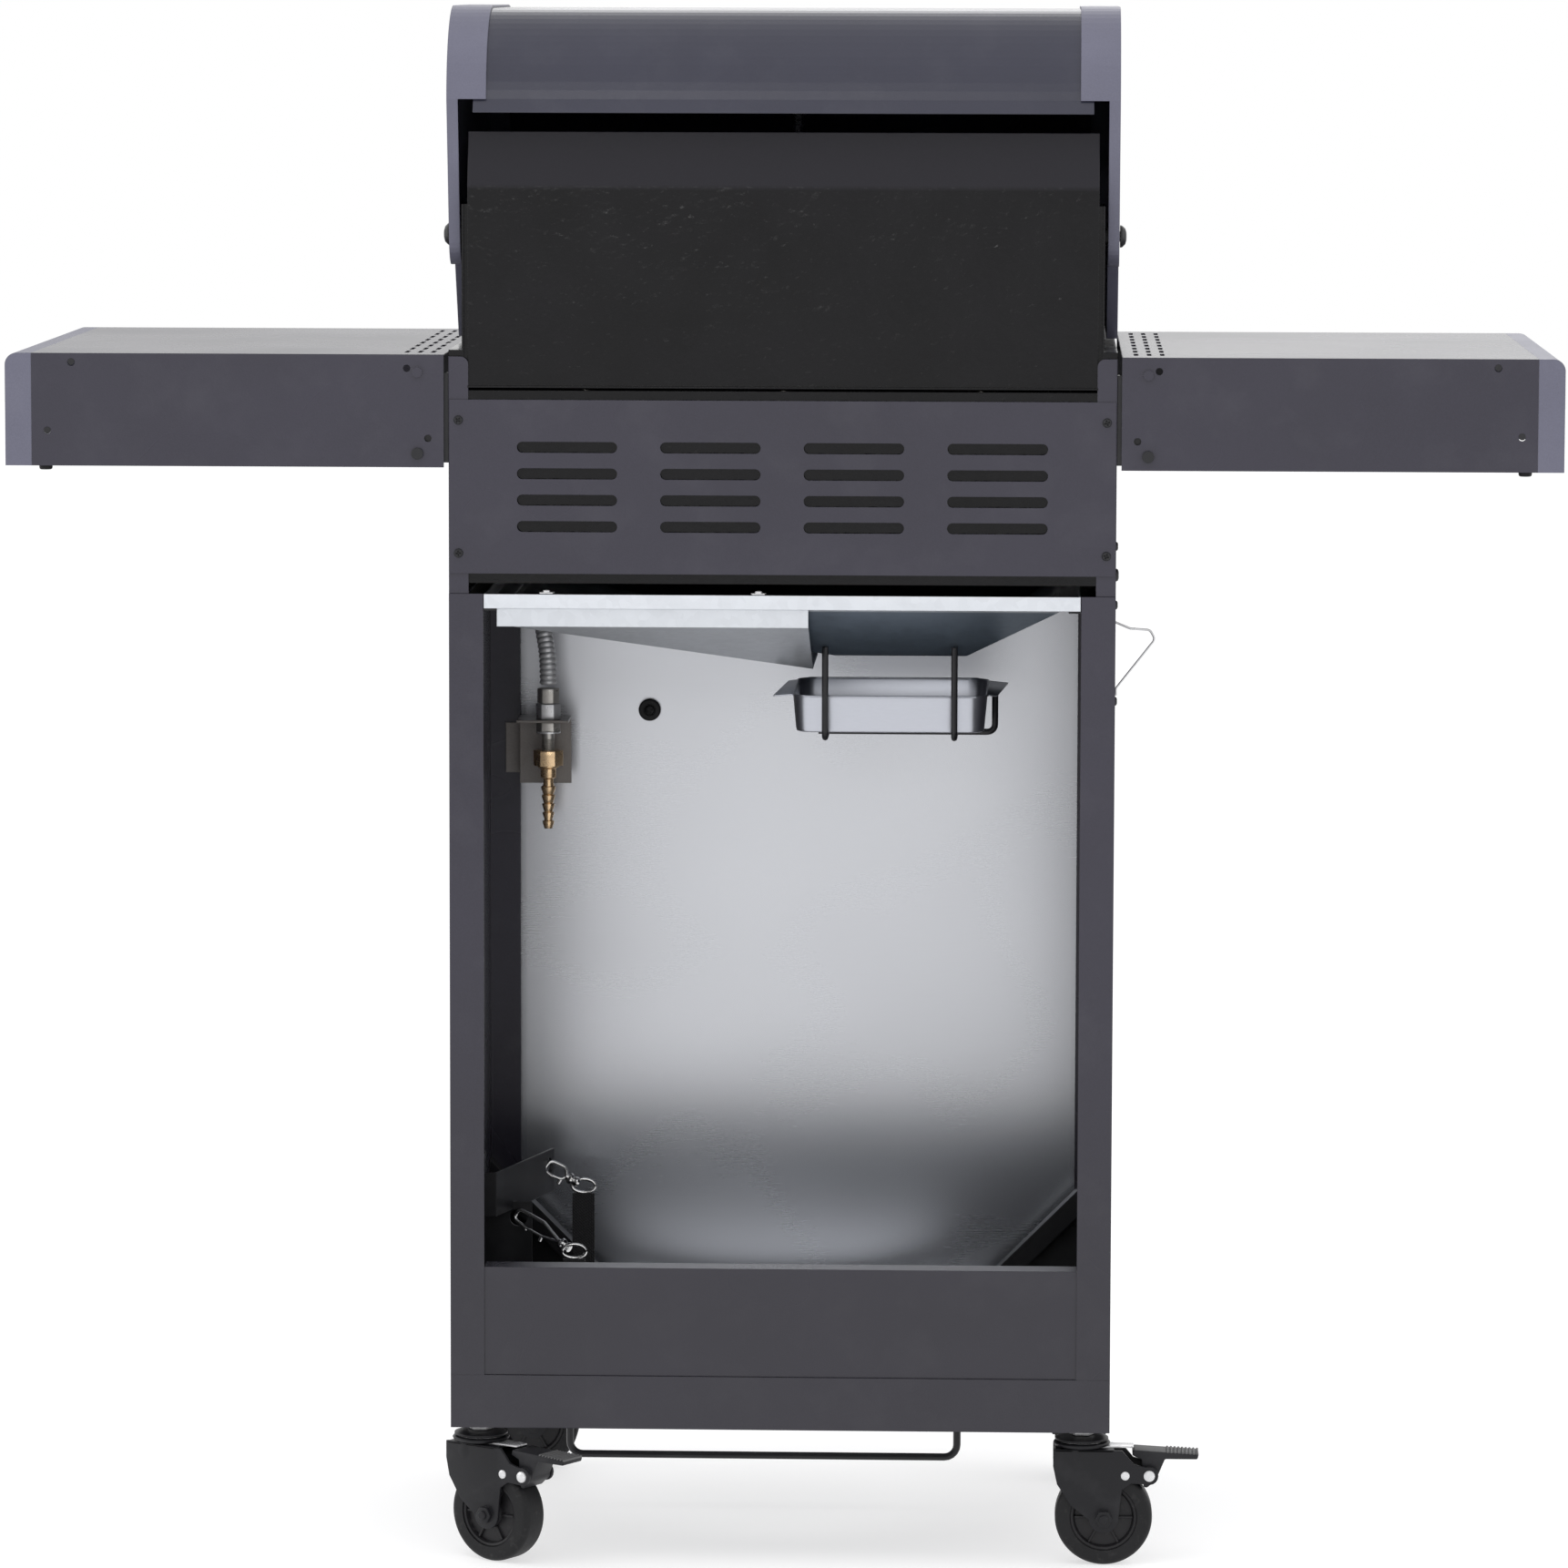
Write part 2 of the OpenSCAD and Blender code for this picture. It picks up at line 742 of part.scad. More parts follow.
// A funnel from the tray's rim down to the flat round the drain
module funnel(drop) {
    hull() {
        block([-funnel_half, tray_front + 10, tray_low - drop], [funnel_half, back_y - 4, tray_low - drop + 0.1]);
        block([drain_x - drain_half, drain_y - drain_half, drain_z - drop],
            [drain_x + drain_half, drain_y + drain_half, drain_z - drop + 0.1]);
    }
}

module funnel_sheet(drop) {
    difference() {
        funnel(drop);
        translate([0, 0, 1.2]) funnel(drop);
    }
}

module grease_tray() {
    color(zinc) difference() {
        union() {
            difference() {
                block([-tray_half, tray_front, tray_low], [tray_half, back_y, tray_top - 0.2]);
                block([-tray_half + 1.2, tray_front + 1.2, tray_low - 1], [tray_half - 1.2, back_y - 1.2, tray_top + 1]);
            }
            // Narrow floor between the rim and the funnel
            difference() {
                block([-tray_half, tray_front, tray_low], [tray_half, back_y, tray_low + 1.2]);
                block([-funnel_half + 1, tray_front + 11, tray_low - 1], [funnel_half - 1, back_y - 5, tray_low + 2]);
            }
            funnel_sheet(0);
        }
        translate([drain_x, drain_y, drain_z - 5]) cylinder(h = 12, d = 26);
    }
}

module heat_shield() {
    x1 = tray_half - 8 - pass_gap - 1;
    color(zinc) {
        intersection() {
            funnel_sheet(shield_drop);
            block([shield_from, tray_front + 20, drain_z - 40], [x1, back_y - 4, tray_low]);
        }
        block([shield_from, back_y - 4.2, tray_low - shield_drop - 1], [x1, back_y - 3, tray_low]);
    }
}

module cup_hanger() {
    near = drain_y + cup_d / 2 + 6;
    far = drain_y - cup_d / 2 + 12;
    low = cup_z - hanger_d / 2 - 0.3;
    top = drain_z + 9.5;
    color(black) {
        for (s = [-1, 1])
            wire(
                bent([
                    [cup_x + s * hanger_half, near, top],
                    [cup_x + s * hanger_half, near, low],
                    [cup_x + s * hanger_half, far, low]
                ], 8),
                hanger_d, [1, 0, 0]
            );
        // Cross wire whose upturned end guides the cup's side
        wire(
            bent([
                [cup_x - cup_w / 2 - 5, drain_y - 20, cup_z + 22],
                [cup_x - cup_w / 2 - 5, drain_y - 20, low - 4.5],
                [cup_x + hanger_half + 8, drain_y - 20, low - 4.5]
            ], 6),
            hanger_d, [0, 1, 0]
        );
    }
}

module cup_shape(inset, low, high) {
    taper = 3;
    x = cup_w / 2 - inset;
    y = cup_d / 2 - inset;
    hull() {
        translate([cup_x - x, drain_y - y, high - 0.1]) linear_extrude(0.1) round_rect([2 * x, 2 * y], 16);
        translate([cup_x - x + taper, drain_y - y + taper, low]) linear_extrude(0.1)
            round_rect([2 * (x - taper), 2 * (y - taper)], 12);
    }
}

module drip_cup() {
    rim = 1.5;
    color(zinc) {
        difference() {
            cup_shape(0, cup_z, cup_top, $fn = 32);
            cup_shape(1.2, cup_z + 1.2, cup_top + 0.2, $fn = 32);
        }
        // Pull flanges at the front and back, with slanted ends
        for (s = [-1, 1])
            translate([cup_x, drain_y + s * (cup_d / 2 - 1.5), cup_top - rim])
                linear_extrude(rim) polygon([
                    [-cup_w / 2 + 16, 0], [cup_w / 2 - 16, 0],
                    [cup_w / 2 - 8, s * 4], [-cup_w / 2 + 8, s * 4]
                ]);
        // Wings beside the rim, one wider towards the back and one towards the front
        for (s = [-1, 1])
            translate([cup_x + s * (cup_w / 2 - 1), drain_y, cup_top - rim])
                linear_extrude(rim) polygon([
                    [0, 16 - cup_d / 2], [0, cup_d / 2 - 16],
                    [s * (12 + s * 4), cup_d / 2 - 19], [s * (12 - s * 4), 19 - cup_d / 2]
                ]);
    }
}

// Gas inlet

module gas_hose() {
    end = [knob_pitch + 42, pipe_y, knob_z];
    // Route up from the inlet and over to the manifold, chosen by hand
    hand = [
        inlet + [0, 0, 30],
        inlet + [1, -2, 55],
        inlet + [6, -13, 82],
        inlet + [9, -26, 106],
        [end[0] + 18, front_y + 21.5, cart_top - 4],
        [end[0] + 17, front_y + 15, cart_top + 18],
        [end[0] + 16, end[1], end[2] - 16]
    ];
    steps = 6;
    last = len(hand) - 1;
    path = [
        for (i = [0 : last - 1], k = [0 : steps - 1])
            let (
                t = k / steps,
                a = hand[max(i - 1, 0)],
                b = hand[i],
                c = hand[i + 1],
                d = hand[min(i + 2, last)]
            )
            0.5 * (2 * b + (c - a) * t + (2 * a - 5 * b + 4 * c - d) * t * t + (3 * b - a - 3 * c + d) * t * t * t),
        hand[last]
    ];
    color(zinc) {
        wire(path, hose_d, [1, 0, 0], 10);
        // Crimped collars and union nuts at both ends
        translate(inlet + [0, 0, 14]) cylinder(h = 16, d = 15, $fn = 6);
        translate(inlet + [0, 0, 2]) cylinder(h = 12, d = 19, $fn = 6);
        translate([end[0] + 16, end[1], end[2] - 16]) cylinder(h = 7, d = 15, $fn = 6);
        block([end[0] + 8, end[1] - 8, end[2] - 9], [end[0] + 24, end[1] + 8, end[2] + 9]);
    }
}

module inlet_bracket() {
    x0 = inlet[0] - bracket_w / 2 + 4;
    back = inlet[1] - 28;
    color("#7b7168") difference() {
        union() {
            block([x0, back, inlet[2]], [x0 + bracket_w, inlet[1] + 14, inlet[2] + 2]);
            block([x0, back, inlet[2] - bracket_h], [x0 + bracket_w, back + 2, inlet[2] + 2]);
            // Arm and foot on the front post
            block([x0 + bracket_w - 2, front_y + sheet, inlet[2] - bracket_h + 6],
                [x0 + bracket_w, back + 2, inlet[2] - 6]);
            block([x0 + bracket_w - 2, front_y + sheet, inlet[2] - bracket_h + 6],
                [post_in + 12, front_y + sheet + 2, inlet[2] - 6]);
        }
        translate(inlet - [0, 0, 1]) cylinder(h = 4, d = 10.2);
    }
}

module hose_barb() {
    color(zinc) {
        translate(inlet - [0, 0, 24]) cylinder(h = 26, d = 10);
        translate(inlet - [0, 0, 8]) cylinder(h = 8, d = 18, $fn = 6);
    }
    color(brass) translate(inlet) rotate_extrude() polygon([
        [0, -24], [11.5, -24], [11.5, -36], [6.5, -38], [6.5, -46], [4, -47],
        [4.4, -54], [5, -54], [4, -61], [5, -61], [4, -68], [5, -68], [4, -75],
        [5, -75], [4, -82], [5, -82], [3.6, -87], [0, -87]
    ]);
}

// Gas bottle strap

module strap_bracket() {
    color(black) difference() {
        union() {
            // Leg on the side panel
            block([wall_in - 2, tip[1] + 20, floor_z + 2], [wall_in, fold_y, plate_high]);
            // Lower plate across the corner
            block([wall_in - 44, bracket_y - 2, floor_z + 2], [wall_in, bracket_y, floor_z + 93]);
            // Upper plate, folded to slant away from the side panel
            translate([0, 0, plate_low]) linear_extrude(plate_high - plate_low) polygon([
                [wall_in, fold_y + 2], [fold_x - 1, fold_y + 2], [tip[0] - 2, tip[1]],
                [tip[0], tip[1] - 0.6], [fold_x + 0.4, fold_y], [wall_in, fold_y]
            ]);
        }
        // Holes for the two hooks
        translate([tip[0], tip[1] + 11, plate_low + 22]) rotate([0, 90, 0])
            cylinder(h = 30, d = 14, center = true);
        translate([wall_in - 33, bracket_y + 5, floor_z + 80]) rotate([90, 0, 0]) cylinder(h = 12, d = 14);
    }
}

// A ring of round wire round the axis n
module ring(centre, d, wire_d, turn) {
    translate(centre) rotate(turn) rotate_extrude() translate([d / 2, 0]) circle(d = wire_d, $fn = 16);
}

module strap_hooks() {
    upper = [tip[0] + 1, tip[1] + 11, plate_low + 22];
    lower = [wall_in - 33, bracket_y - 1, floor_z + 84];
    mid_x = strap_x + strap_w / 2;
    color(zinc) {
        // Each hook: an eye in the bracket, a shank and the strap's ring
        ring(upper + [-4, 0, -1], 12, 3, [90, 0, 0]);
        rod(upper + [-10, 0, -4], [mid_x + 6, strap_top[0], strap_top[1] + 13], 5);
        ring([mid_x, strap_top[0], strap_top[1] + 9.5], 16, 3, [0, 90, 90]);
        ring(lower + [-2, 4, -4], 12, 3, [0, 90, 0]);
        rod(lower + [-2, 9, -6], [mid_x + 6, strap_end[0], strap_end[1] + 13], 4);
        ring([mid_x, strap_end[0], strap_end[1] + 9.5], 16, 3, [0, 90, 90]);
    }
}

function normals(path) = [
    for (i = [0 : len(path) - 1])
        let (t = unit(path[min(i + 1, len(path) - 1)] - path[max(i - 1, 0)]))
        [-t[1], t[0]]
];

// The strap hangs from its upper ring, lies folded on the base pan and rises to the lower ring
module bottle_strap() {
    z = floor_z + strap_lay;
    y_back = back_y - 62;
    y_front = back_y - 318;
    route = bent([
        strap_top,
        [strap_top[0], z],
        [y_back, z],
        [y_back, z + strap_turn],
        [y_front, z + strap_turn],
        [y_front, z + 2 * strap_turn],
        [strap_end[0], z + 2 * strap_turn],
        strap_end
    ], 5, 6);
    side = normals(route) * strap_t / 2;
    color(black) along_x(strap_x, strap_x + strap_w)
        polygon(concat(route + side, reverse(route - side)));
}

// Fasteners

module body_screws() {
    color(black) {
        for (s = [-1, 1], z = [vent_top - 15.5, vent_low + 15.5])
            translate([s * (half_w - 7.5), back_y + 2, z]) rotate([90, 0, 0]) cylinder(h = 2, d = 7);
        both_sides()
            for (p = [[cart_top + 34, 7], [cart_top + 12, 10], [cart_top - 11, 7], [cart_top - 85, 7]])
                translate([half_w, back_y - 60, p[0]]) rotate([0, 90, 0]) cylinder(h = 3, d = p[1]);
    }
}

module door_hinges() {
    x0 = door_pin_x - 8;
    x1 = door_pin_x + 15;
    color(black) {
        // Lower hinge: angle on the base pan's skirt with its pin
        block([x0, door_pin_y - 9, floor_z - 3], [x1, front_y, floor_z]);
        block([x0, front_y - 2, floor_z - 24], [x1, front_y, floor_z]);
        translate([door_pin_x, door_pin_y, floor_z - 3]) cylinder(h = 14, d = door_pin_d);
        // Upper hinge: angle on the side frame's front flange
        block([x0, door_pin_y - 9, cart_top - 3], [x1, front_y, cart_top]);
        block([x0, front_y - 2, cart_top - 3], [x1, front_y, cart_top + 24]);
        translate([door_pin_x, door_pin_y, cart_top - 14]) cylinder(h = 14, d = door_pin_d);
    }
}

module match_holder() {
    y = back_y - 60;
    x = -half_w;
    color(zinc)
        wire(
            bent([
                [x, y, cart_top - 24], [x - 12, y, cart_top - 29], [x - 27, y, cart_top - 30],
                [x - 31, y, cart_top - 37], [x - 1.2, y, cart_top - 75], [x - 1.2, y, cart_top - 80.5]
            ], 4, 3),
            1.8, [0, 1, 0]
        );
}

module lid_pivots() {
    color(zinc) both_sides()
        translate([firebox_half - sheet - 6, pivot_y, pivot_z]) rotate([0, 90, 0]) {
            cylinder(h = lid_half + 6 - (firebox_half - sheet - 6), d = 8);
            translate([0, 0, lid_half + pass_gap - (firebox_half - sheet - 6)]) cylinder(h = 5, d = 17);
            cylinder(h = 6, d = 13, $fn = 6);
            translate([0, 0, 6 + sheet]) cylinder(h = lid_half - cap_t - pass_gap - firebox_half, d = 14);
        }
}

// Lid

// The lid's section from the back hem over the top to the front edge, moved inwards by inset
function lid_curve(inset) = concat(
    arc(back_y - lid_back_r, lid_top - lid_back_r, lid_back_r - inset, 0, 90, 16),
    arc(lid_front + lid_front_r, lid_top - lid_front_r, lid_front_r - inset, 90, 180, 24),
    [[lid_front + inset, lid_low]]
);

module lid_outline() {
    polygon(concat(
        lid_curve(0),
        [[pivot_y - 70, lid_low]],
        arc(pivot_y, pivot_z, lobe_r, 190, 355, 16)
    ));
}

module lid_skin() {
    half = lid_half - 20;
    hem = lid_top - lid_back_r - hem_h;
    outer = cap_t;
    inner = cap_t + 1.2;
    color(paint) difference() {
        along_x(-half, half)
            polygon(concat(
                [[back_y - outer + hem_out, hem]], lid_curve(outer),
                reverse(lid_curve(inner)), [[back_y - inner + hem_out, hem]]
            ));
        place_thermometer() translate([0, 0, -8]) cylinder(h = 12, d = 9);
        for (s = [-1, 1])
            translate([s * (handle_l / 2 - 25), lid_front + 8, handle_z]) rotate([90, 0, 0]) cylinder(h = 12, d = 6.4);
    }
}

module lid_ends() {
    color(cap_grey) both_sides() difference() {
        union() {
            along_x(lid_half - cap_t, lid_half) lid_outline();
            // Rim over the edge of the skin
            along_x(lid_half - cap_rim, lid_half)
                polygon(concat(lid_curve(0), reverse(lid_curve(cap_t))));
            // Narrow return along the free edges
            along_x(lid_half - side_rim, lid_half) difference() {
                lid_outline();
                offset(delta = -cap_t) lid_outline();
            }
        }
        translate([lid_half - side_rim - 1, pivot_y, pivot_z]) rotate([0, 90, 0])
            cylinder(h = side_rim + 2, d = 8 + 2 * run_fit);
    }
}

module lid_handle() {
    y = lid_front - handle_gap;
    color(zinc) {
        translate([-handle_l / 2, y, handle_z]) rotate([0, 90, 0]) cylinder(h = handle_l, d = handle_d);
        for (s = [-1, 1])
            translate([s * (handle_l / 2 - 25), lid_front + cap_t, handle_z]) rotate([90, 0, 0]) {
                cylinder(h = handle_gap - handle_d / 2 + 6, d = 16);
                translate([0, 0, -12]) cylinder(h = 13, d = 6);
            }
    }
}

module place_thermometer() {
    translate([0, lid_front + lid_front_r, lid_top - lid_front_r])
        rotate([90 - dial_rise, 0, 0]) translate([0, 0, lid_front_r]) children();
}

module thermometer() {
    color(zinc) place_thermometer() {
        translate([0, 0, -cap_t]) cylinder(h = cap_t + 2, d = 20);
        translate([0, 0, 2]) cylinder(h = 9, d = 62);
        translate([0, 0, -60]) cylinder(h = 60, d = 8);
    }
}

// Door

module door_panel() {
    inner = door_front + sheet;
    color(zinc) difference() {
        block([-door_half, door_front, door_low], [door_half, door_back, door_top]);
        block([-door_half + sheet, inner, door_low + sheet], [door_half - sheet, door_back + 1, door_top - sheet]);
        translate([door_pin_x, door_pin_y, door_low - 1])
            cylinder(h = sheet + 2, d = door_pin_d + 2 * run_fit);
        translate([door_pin_x, door_pin_y, door_top - sheet - 1])
            cylinder(h = sheet + 2, d = door_pin_d + 2 * run_fit);
        for (s = [-1, 1])
            translate([s * door_handle_x, inner + 1, door_handle_z]) rotate([90, 0, 0]) cylinder(h = 4, d = 6);
    }
}

module door_handle() {
    bar_y = door_front - 30;
    color(zinc) {
        translate([-150, bar_y, door_handle_z]) rotate([0, 90, 0]) cylinder(h = 300, d = 14);
        for (s = [-1, 1])
            translate([s * door_handle_x, door_front, door_handle_z]) rotate([90, 0, 0]) {
                cylinder(h = 26, d = 11);
                translate([0, 0, -sheet - 4]) cylinder(h = sheet + 5, d = 5.8);
                translate([0, 0, -sheet - 6]) cylinder(h = 6, d = 18);
            }
    }
}

// Knobs

module valve_stem(i) {
    color(zinc) translate([knob_x[i], pipe_y - 10, knob_z]) rotate([90, 0, 0])
        cylinder(h = pipe_y - 10 - knob_back + 14, d = stem_d);
}

module knob(i) {
    color(black) translate([knob_x[i], knob_back, knob_z]) rotate([90, 0, 0]) difference() {
        union() {
            cylinder(h = 5, d = knob_d);
            translate([0, 0, 5]) cylinder(h = knob_l - 5, d1 = knob_d - 3, d2 = knob_d - 8);
            translate([-4, -knob_d / 2 + 1, 5]) cube([8, knob_d - 2, knob_l - 5]);
        }
        translate([0, 0, -1]) cylinder(h = 17, d = stem_d + 2 * run_fit);
    }
}

module valve_stem_1() { valve_stem(0); }
module valve_stem_2() { valve_stem(1); }
module valve_stem_3() { valve_stem(2); }
module knob_1() { knob(0); }
module knob_2() { knob(1); }
module knob_3() { knob(2); }

// Casters: the wheel trails towards -X before the caster is turned

module place_caster(i) {
    c = CASTERS[i];
    translate([c[0], c[1], 0]) rotate([0, 0, c[2]]) children();
}

module caster_fork(i) {
    brake = CASTERS[i][3] == 1;
    color(black) place_caster(i) {
        difference() {
            union() {
                // Bearing cups
                translate([0, 0, fork_top - 6]) cylinder(h = 9, d = 44);
                // Bridge and the two cheeks
                block([-26, -fork_half - fork_t, fork_top - 8], [20, fork_half + fork_t, fork_top - 6]);
                for (s = [-1, 1])
                    translate([0, s > 0 ? fork_half + fork_t : -fork_half, 0]) rotate([90, 0, 0])
                        linear_extrude(fork_t) fork_cheek(brake);
            }
            translate([0, 0, fork_top - 10]) cylinder(h = 20, d = stem_rod + 2 * run_fit);
        }
        translate([-trail, fork_half + fork_t + 4, wheel_r]) rotate([90, 0, 0])
            cylinder(h = 2 * (fork_half + fork_t + 4), d = axle_d);
        if (brake)
            translate([-pedal_in, fork_half + fork_t + 1, pedal_z]) rotate([90, 0, 0])
                cylinder(h = 2 * (fork_half + fork_t + 1), d = 5);
    }
}

module fork_cheek(brake) {
    top = fork_top - 6;
    hull() {
        translate([-trail, wheel_r]) circle(11);
        translate([-26, top - 18]) square([46, 18]);
    }
    if (brake)
        hull() {
            translate([-pedal_in, pedal_z]) circle(7);
            translate([-26, top - 22]) square([4, 16]);
        }
}

module caster_wheel(i) {
    color(black) place_caster(i) translate([-trail, 0, wheel_r]) rotate([90, 0, 0])
        rotate_extrude($fn = 64) polygon([
            [axle_d / 2 + run_fit, -wheel_w / 2], [12, -wheel_w / 2], [12, -wheel_w / 2 + 4],
            [24, -wheel_w / 2 + 4], [24, -wheel_w / 2], [wheel_r - 4, -wheel_w / 2],
            [wheel_r, -wheel_w / 2 + 5], [wheel_r, wheel_w / 2 - 5], [wheel_r - 4, wheel_w / 2],
            [24, wheel_w / 2], [24, wheel_w / 2 - 4], [12, wheel_w / 2 - 4], [12, wheel_w / 2],
            [axle_d / 2 + run_fit, wheel_w / 2]
        ]);
}

module brake_pedal(i) {
    half = fork_half - 0.5;
    color(black) place_caster(i) translate([-pedal_in, 0, pedal_z]) difference() {
        union() {
            translate([0, half, 0]) rotate([90, 0, 0]) cylinder(h = 2 * half, d = 13);
            // Shoe above the wheel, neck and foot plate
            along_y(-half, half) polygon([
                [-6, -2], [-12, 12], [-pedal_l, 12], [-pedal_l - 1, 18], [13, 21],
                [14, 15], [6, 12], [6, -2], [4.2, -9.8], [1.5, -10.2], [-5, -4]
            ]);
        }
        translate([0, 30, 0]) rotate([90, 0, 0]) cylinder(h = 60, d = 5 + 2 * run_fit);
    }
}

module caster_fork_1() { caster_fork(0); }
module caster_fork_2() { caster_fork(1); }
module caster_fork_3() { caster_fork(2); }
module caster_fork_4() { caster_fork(3); }
module caster_wheel_1() { caster_wheel(0); }
module caster_wheel_2() { caster_wheel(1); }
module caster_wheel_3() { caster_wheel(2); }
module caster_wheel_4() { caster_wheel(3); }
module brake_pedal_1() { brake_pedal(0); }
module brake_pedal_2() { brake_pedal(1); }

base_pan();
side_panels();
back_rail();
front_rail();
corner_gussets();
bottle_cradle();
caster_stems();
side_frames();
vent_panel();
firebox();
back_wall();
control_panel();
knob_bezels();
gas_manifold();
burners();
flame_tamers();
cooking_grates();
warming_rack();
shelf_brackets();
tray_rails();
gas_hose();
inlet_bracket();
hose_barb();
strap_bracket();
strap_hooks();
bottle_strap();
body_screws();
door_hinges();
match_holder();
lid_pivots();
lid_skin();
lid_ends();
lid_handle();
thermometer();
door_panel();
door_handle();
grease_tray();
heat_shield();
cup_hanger();
drip_cup();
shelf_left();
shelf_right();
shelf_cap_left();
shelf_cap_right();
valve_stem_1();
valve_stem_2();
valve_stem_3();
knob_1();
knob_2();
knob_3();
caster_fork_1();
caster_fork_2();
caster_fork_3();
caster_fork_4();
caster_wheel_1();
caster_wheel_2();
caster_wheel_3();
caster_wheel_4();
brake_pedal_1();
brake_pedal_2();
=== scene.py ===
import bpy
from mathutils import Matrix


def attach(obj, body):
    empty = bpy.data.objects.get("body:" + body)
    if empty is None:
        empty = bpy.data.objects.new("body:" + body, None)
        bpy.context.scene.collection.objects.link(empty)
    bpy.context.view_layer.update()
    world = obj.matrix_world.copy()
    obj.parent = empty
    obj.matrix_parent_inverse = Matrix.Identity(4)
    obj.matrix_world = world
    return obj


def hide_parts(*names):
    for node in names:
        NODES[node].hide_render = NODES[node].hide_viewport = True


bl_info = {
    "name": "Gas barbecue grill finish",
    "version": (1, 0, 0),
    "blender": (4, 5, 0),
    "location": "3D View > Sidebar > Grill",
    "description": "Detailed pieces, finishes and studio for a gas barbecue grill on casters",
    "category": "Object",
}

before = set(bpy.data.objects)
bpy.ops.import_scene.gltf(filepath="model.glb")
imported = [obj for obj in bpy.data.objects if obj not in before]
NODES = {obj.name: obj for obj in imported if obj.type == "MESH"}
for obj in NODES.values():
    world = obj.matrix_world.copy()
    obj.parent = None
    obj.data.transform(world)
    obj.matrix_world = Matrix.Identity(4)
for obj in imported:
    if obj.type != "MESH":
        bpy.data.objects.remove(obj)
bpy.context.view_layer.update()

import math

import bmesh
import bpy
from bpy.props import FloatProperty, FloatVectorProperty, IntProperty, PointerProperty
from bpy.types import Operator, Panel, PropertyGroup
from mathutils import Matrix, Vector

MM = 0.001
UP, ALONG_X, ALONG_Y, TO_FRONT = (0, 0, 1), (1, 0, 0), (0, 1, 0), (0, -1, 0)
SHARP_ANGLE = 0.6  # radians; edges that fold by more stay crisp
WIRE_SIDES = 12

# Heights, in metres, between which a finish changes its tone to paint in light and shade: painted shade low on
# the body paint and in the grease tray's funnel, a painted lighter top strip on the back wall and a painted
# reflection on the door's lower part
PAINT_SHADE_FULL_Z, PAINT_SHADE_TOP_Z = 0.2, 0.5
PAINTED_LIGHT_STRIP_Z = (1.056, 1.06)
FUNNEL_SHADE_Z = 0.7375
DOOR_REFLECTION_Z = 0.3

# Places, in millimetres
CASTERS = [(-232, 186, 0, True), (232, 186, -34, True), (-232, -159, -90, False), (232, -159, 0, False)]
AXLE, BRAKE_PIN = (-17, 0, 37.5), (-52, 0, 71)
INLET, OUTLET = (201, -137), (208, -178)
HOSE = [(201, -137, 647), (202, -139, 672), (207, -150, 699), (210, -163, 723), (210, -167.5, 746),
        (209, -174, 768), (208, -178, 829)]
STRAP_X, STRAP_Z = 171.5, 149.5
CUP_X, CUP_Y = -80, 29
DRAIN = (-88, 29, 0)
CLIP_X = (179, 18)
LID_BAR, LID_POST_X, LID_POST_Y = (0, -241, 1000), 190, -199
LID_PIVOT = (0, 171, 1021)
KNOB_X, KNOB_Y, KNOB_Z, BEZEL_Y = (-150, 0, 150), -220, 845, -214
DOOR_BAR, DOOR_POST_X, DOOR_FACE_Y = (0, -240, 620), 122.5, -210

CAMERA_AT = (-0.1927, 5.7505, 1.2191)
CAMERA_ANGLES = (1.973, 6.315, 0.15)  # yaw, pitch and roll in degrees
CAMERA_LENS, CAMERA_SENSOR = 168.25923344947734, 36


# ---------------------------------------------------------------- sizes and colours


def colour(name, description, default):
    return FloatVectorProperty(
        name=name, description=description, subtype="COLOR", size=3, min=0.0, max=1.0, default=default
    )


def length(name, description, default):
    return FloatProperty(name=name, description=description, unit="LENGTH", subtype="DISTANCE", default=default)


class GrillFinishes(PropertyGroup):
    paint: colour("Body paint", "Satin paint of the cart, shelves and slotted panel", (0.024, 0.022, 0.0355))
    lid_paint: colour("Lid paint", "Paint of the lid's rolled skin", (0.026, 0.0265, 0.043))
    trim: colour("Trim paint", "Lighter paint of the lid's end caps and the shelf ends", (0.12, 0.12, 0.165))
    enamel: colour("Enamel", "Glossy enamel of the firebox and its back wall", (0.0016, 0.0015, 0.002))
    black: colour("Black steel", "Black coated small steel parts", (0.012, 0.012, 0.014))
    zinc: colour("Galvanised sheet", "Galvanised sheet of the grease tray", (0.665, 0.69, 0.73))
    steel: colour("Brushed steel", "Brushed steel of the door, handles and bezels", (0.56, 0.57, 0.6))
    brass: colour("Brass", "Brass of the hose barb", (0.8, 0.57, 0.34))
    edge_round: length("Edge rounding", "Radius of the small rounding along every folded edge", 0.0011)


class CasterSizes(PropertyGroup):
    tyre_d: length("Tyre diameter", "Diameter over the tread", 0.075)
    tyre_w: length("Tyre width", "Width of the wheel", 0.024)
    treads: IntProperty(name="Pedal ribs", description="Ribs across the foot plate", default=9, min=3, max=20)


class HoseSizes(PropertyGroup):
    hose_d: length("Hose diameter", "Outside diameter of the corrugated gas hose", 0.014)
    rib_pitch: length("Rib pitch", "Distance between two corrugations", 0.0042)
    barb_d: length("Barb diameter", "Diameter over the brass barbs", 0.010)


class StudioSizes(PropertyGroup):
    floor_size: length("Floor size", "Side of the pale floor", 30.0)
    floor_tint: colour("Floor", "Colour of the floor", (0.42, 0.42, 0.422))
    floor_glow: FloatProperty(name="Floor glow", description="Light of the floor itself", default=1.45, min=0.0)
    key_power: FloatProperty(name="Key light", description="Power of the large light", default=45.0, min=0.0)
    fill_power: FloatProperty(name="Fill light", description="Power of the side lights", default=16.0, min=0.0)


# ---------------------------------------------------------------- finishes

FINISHES = {}


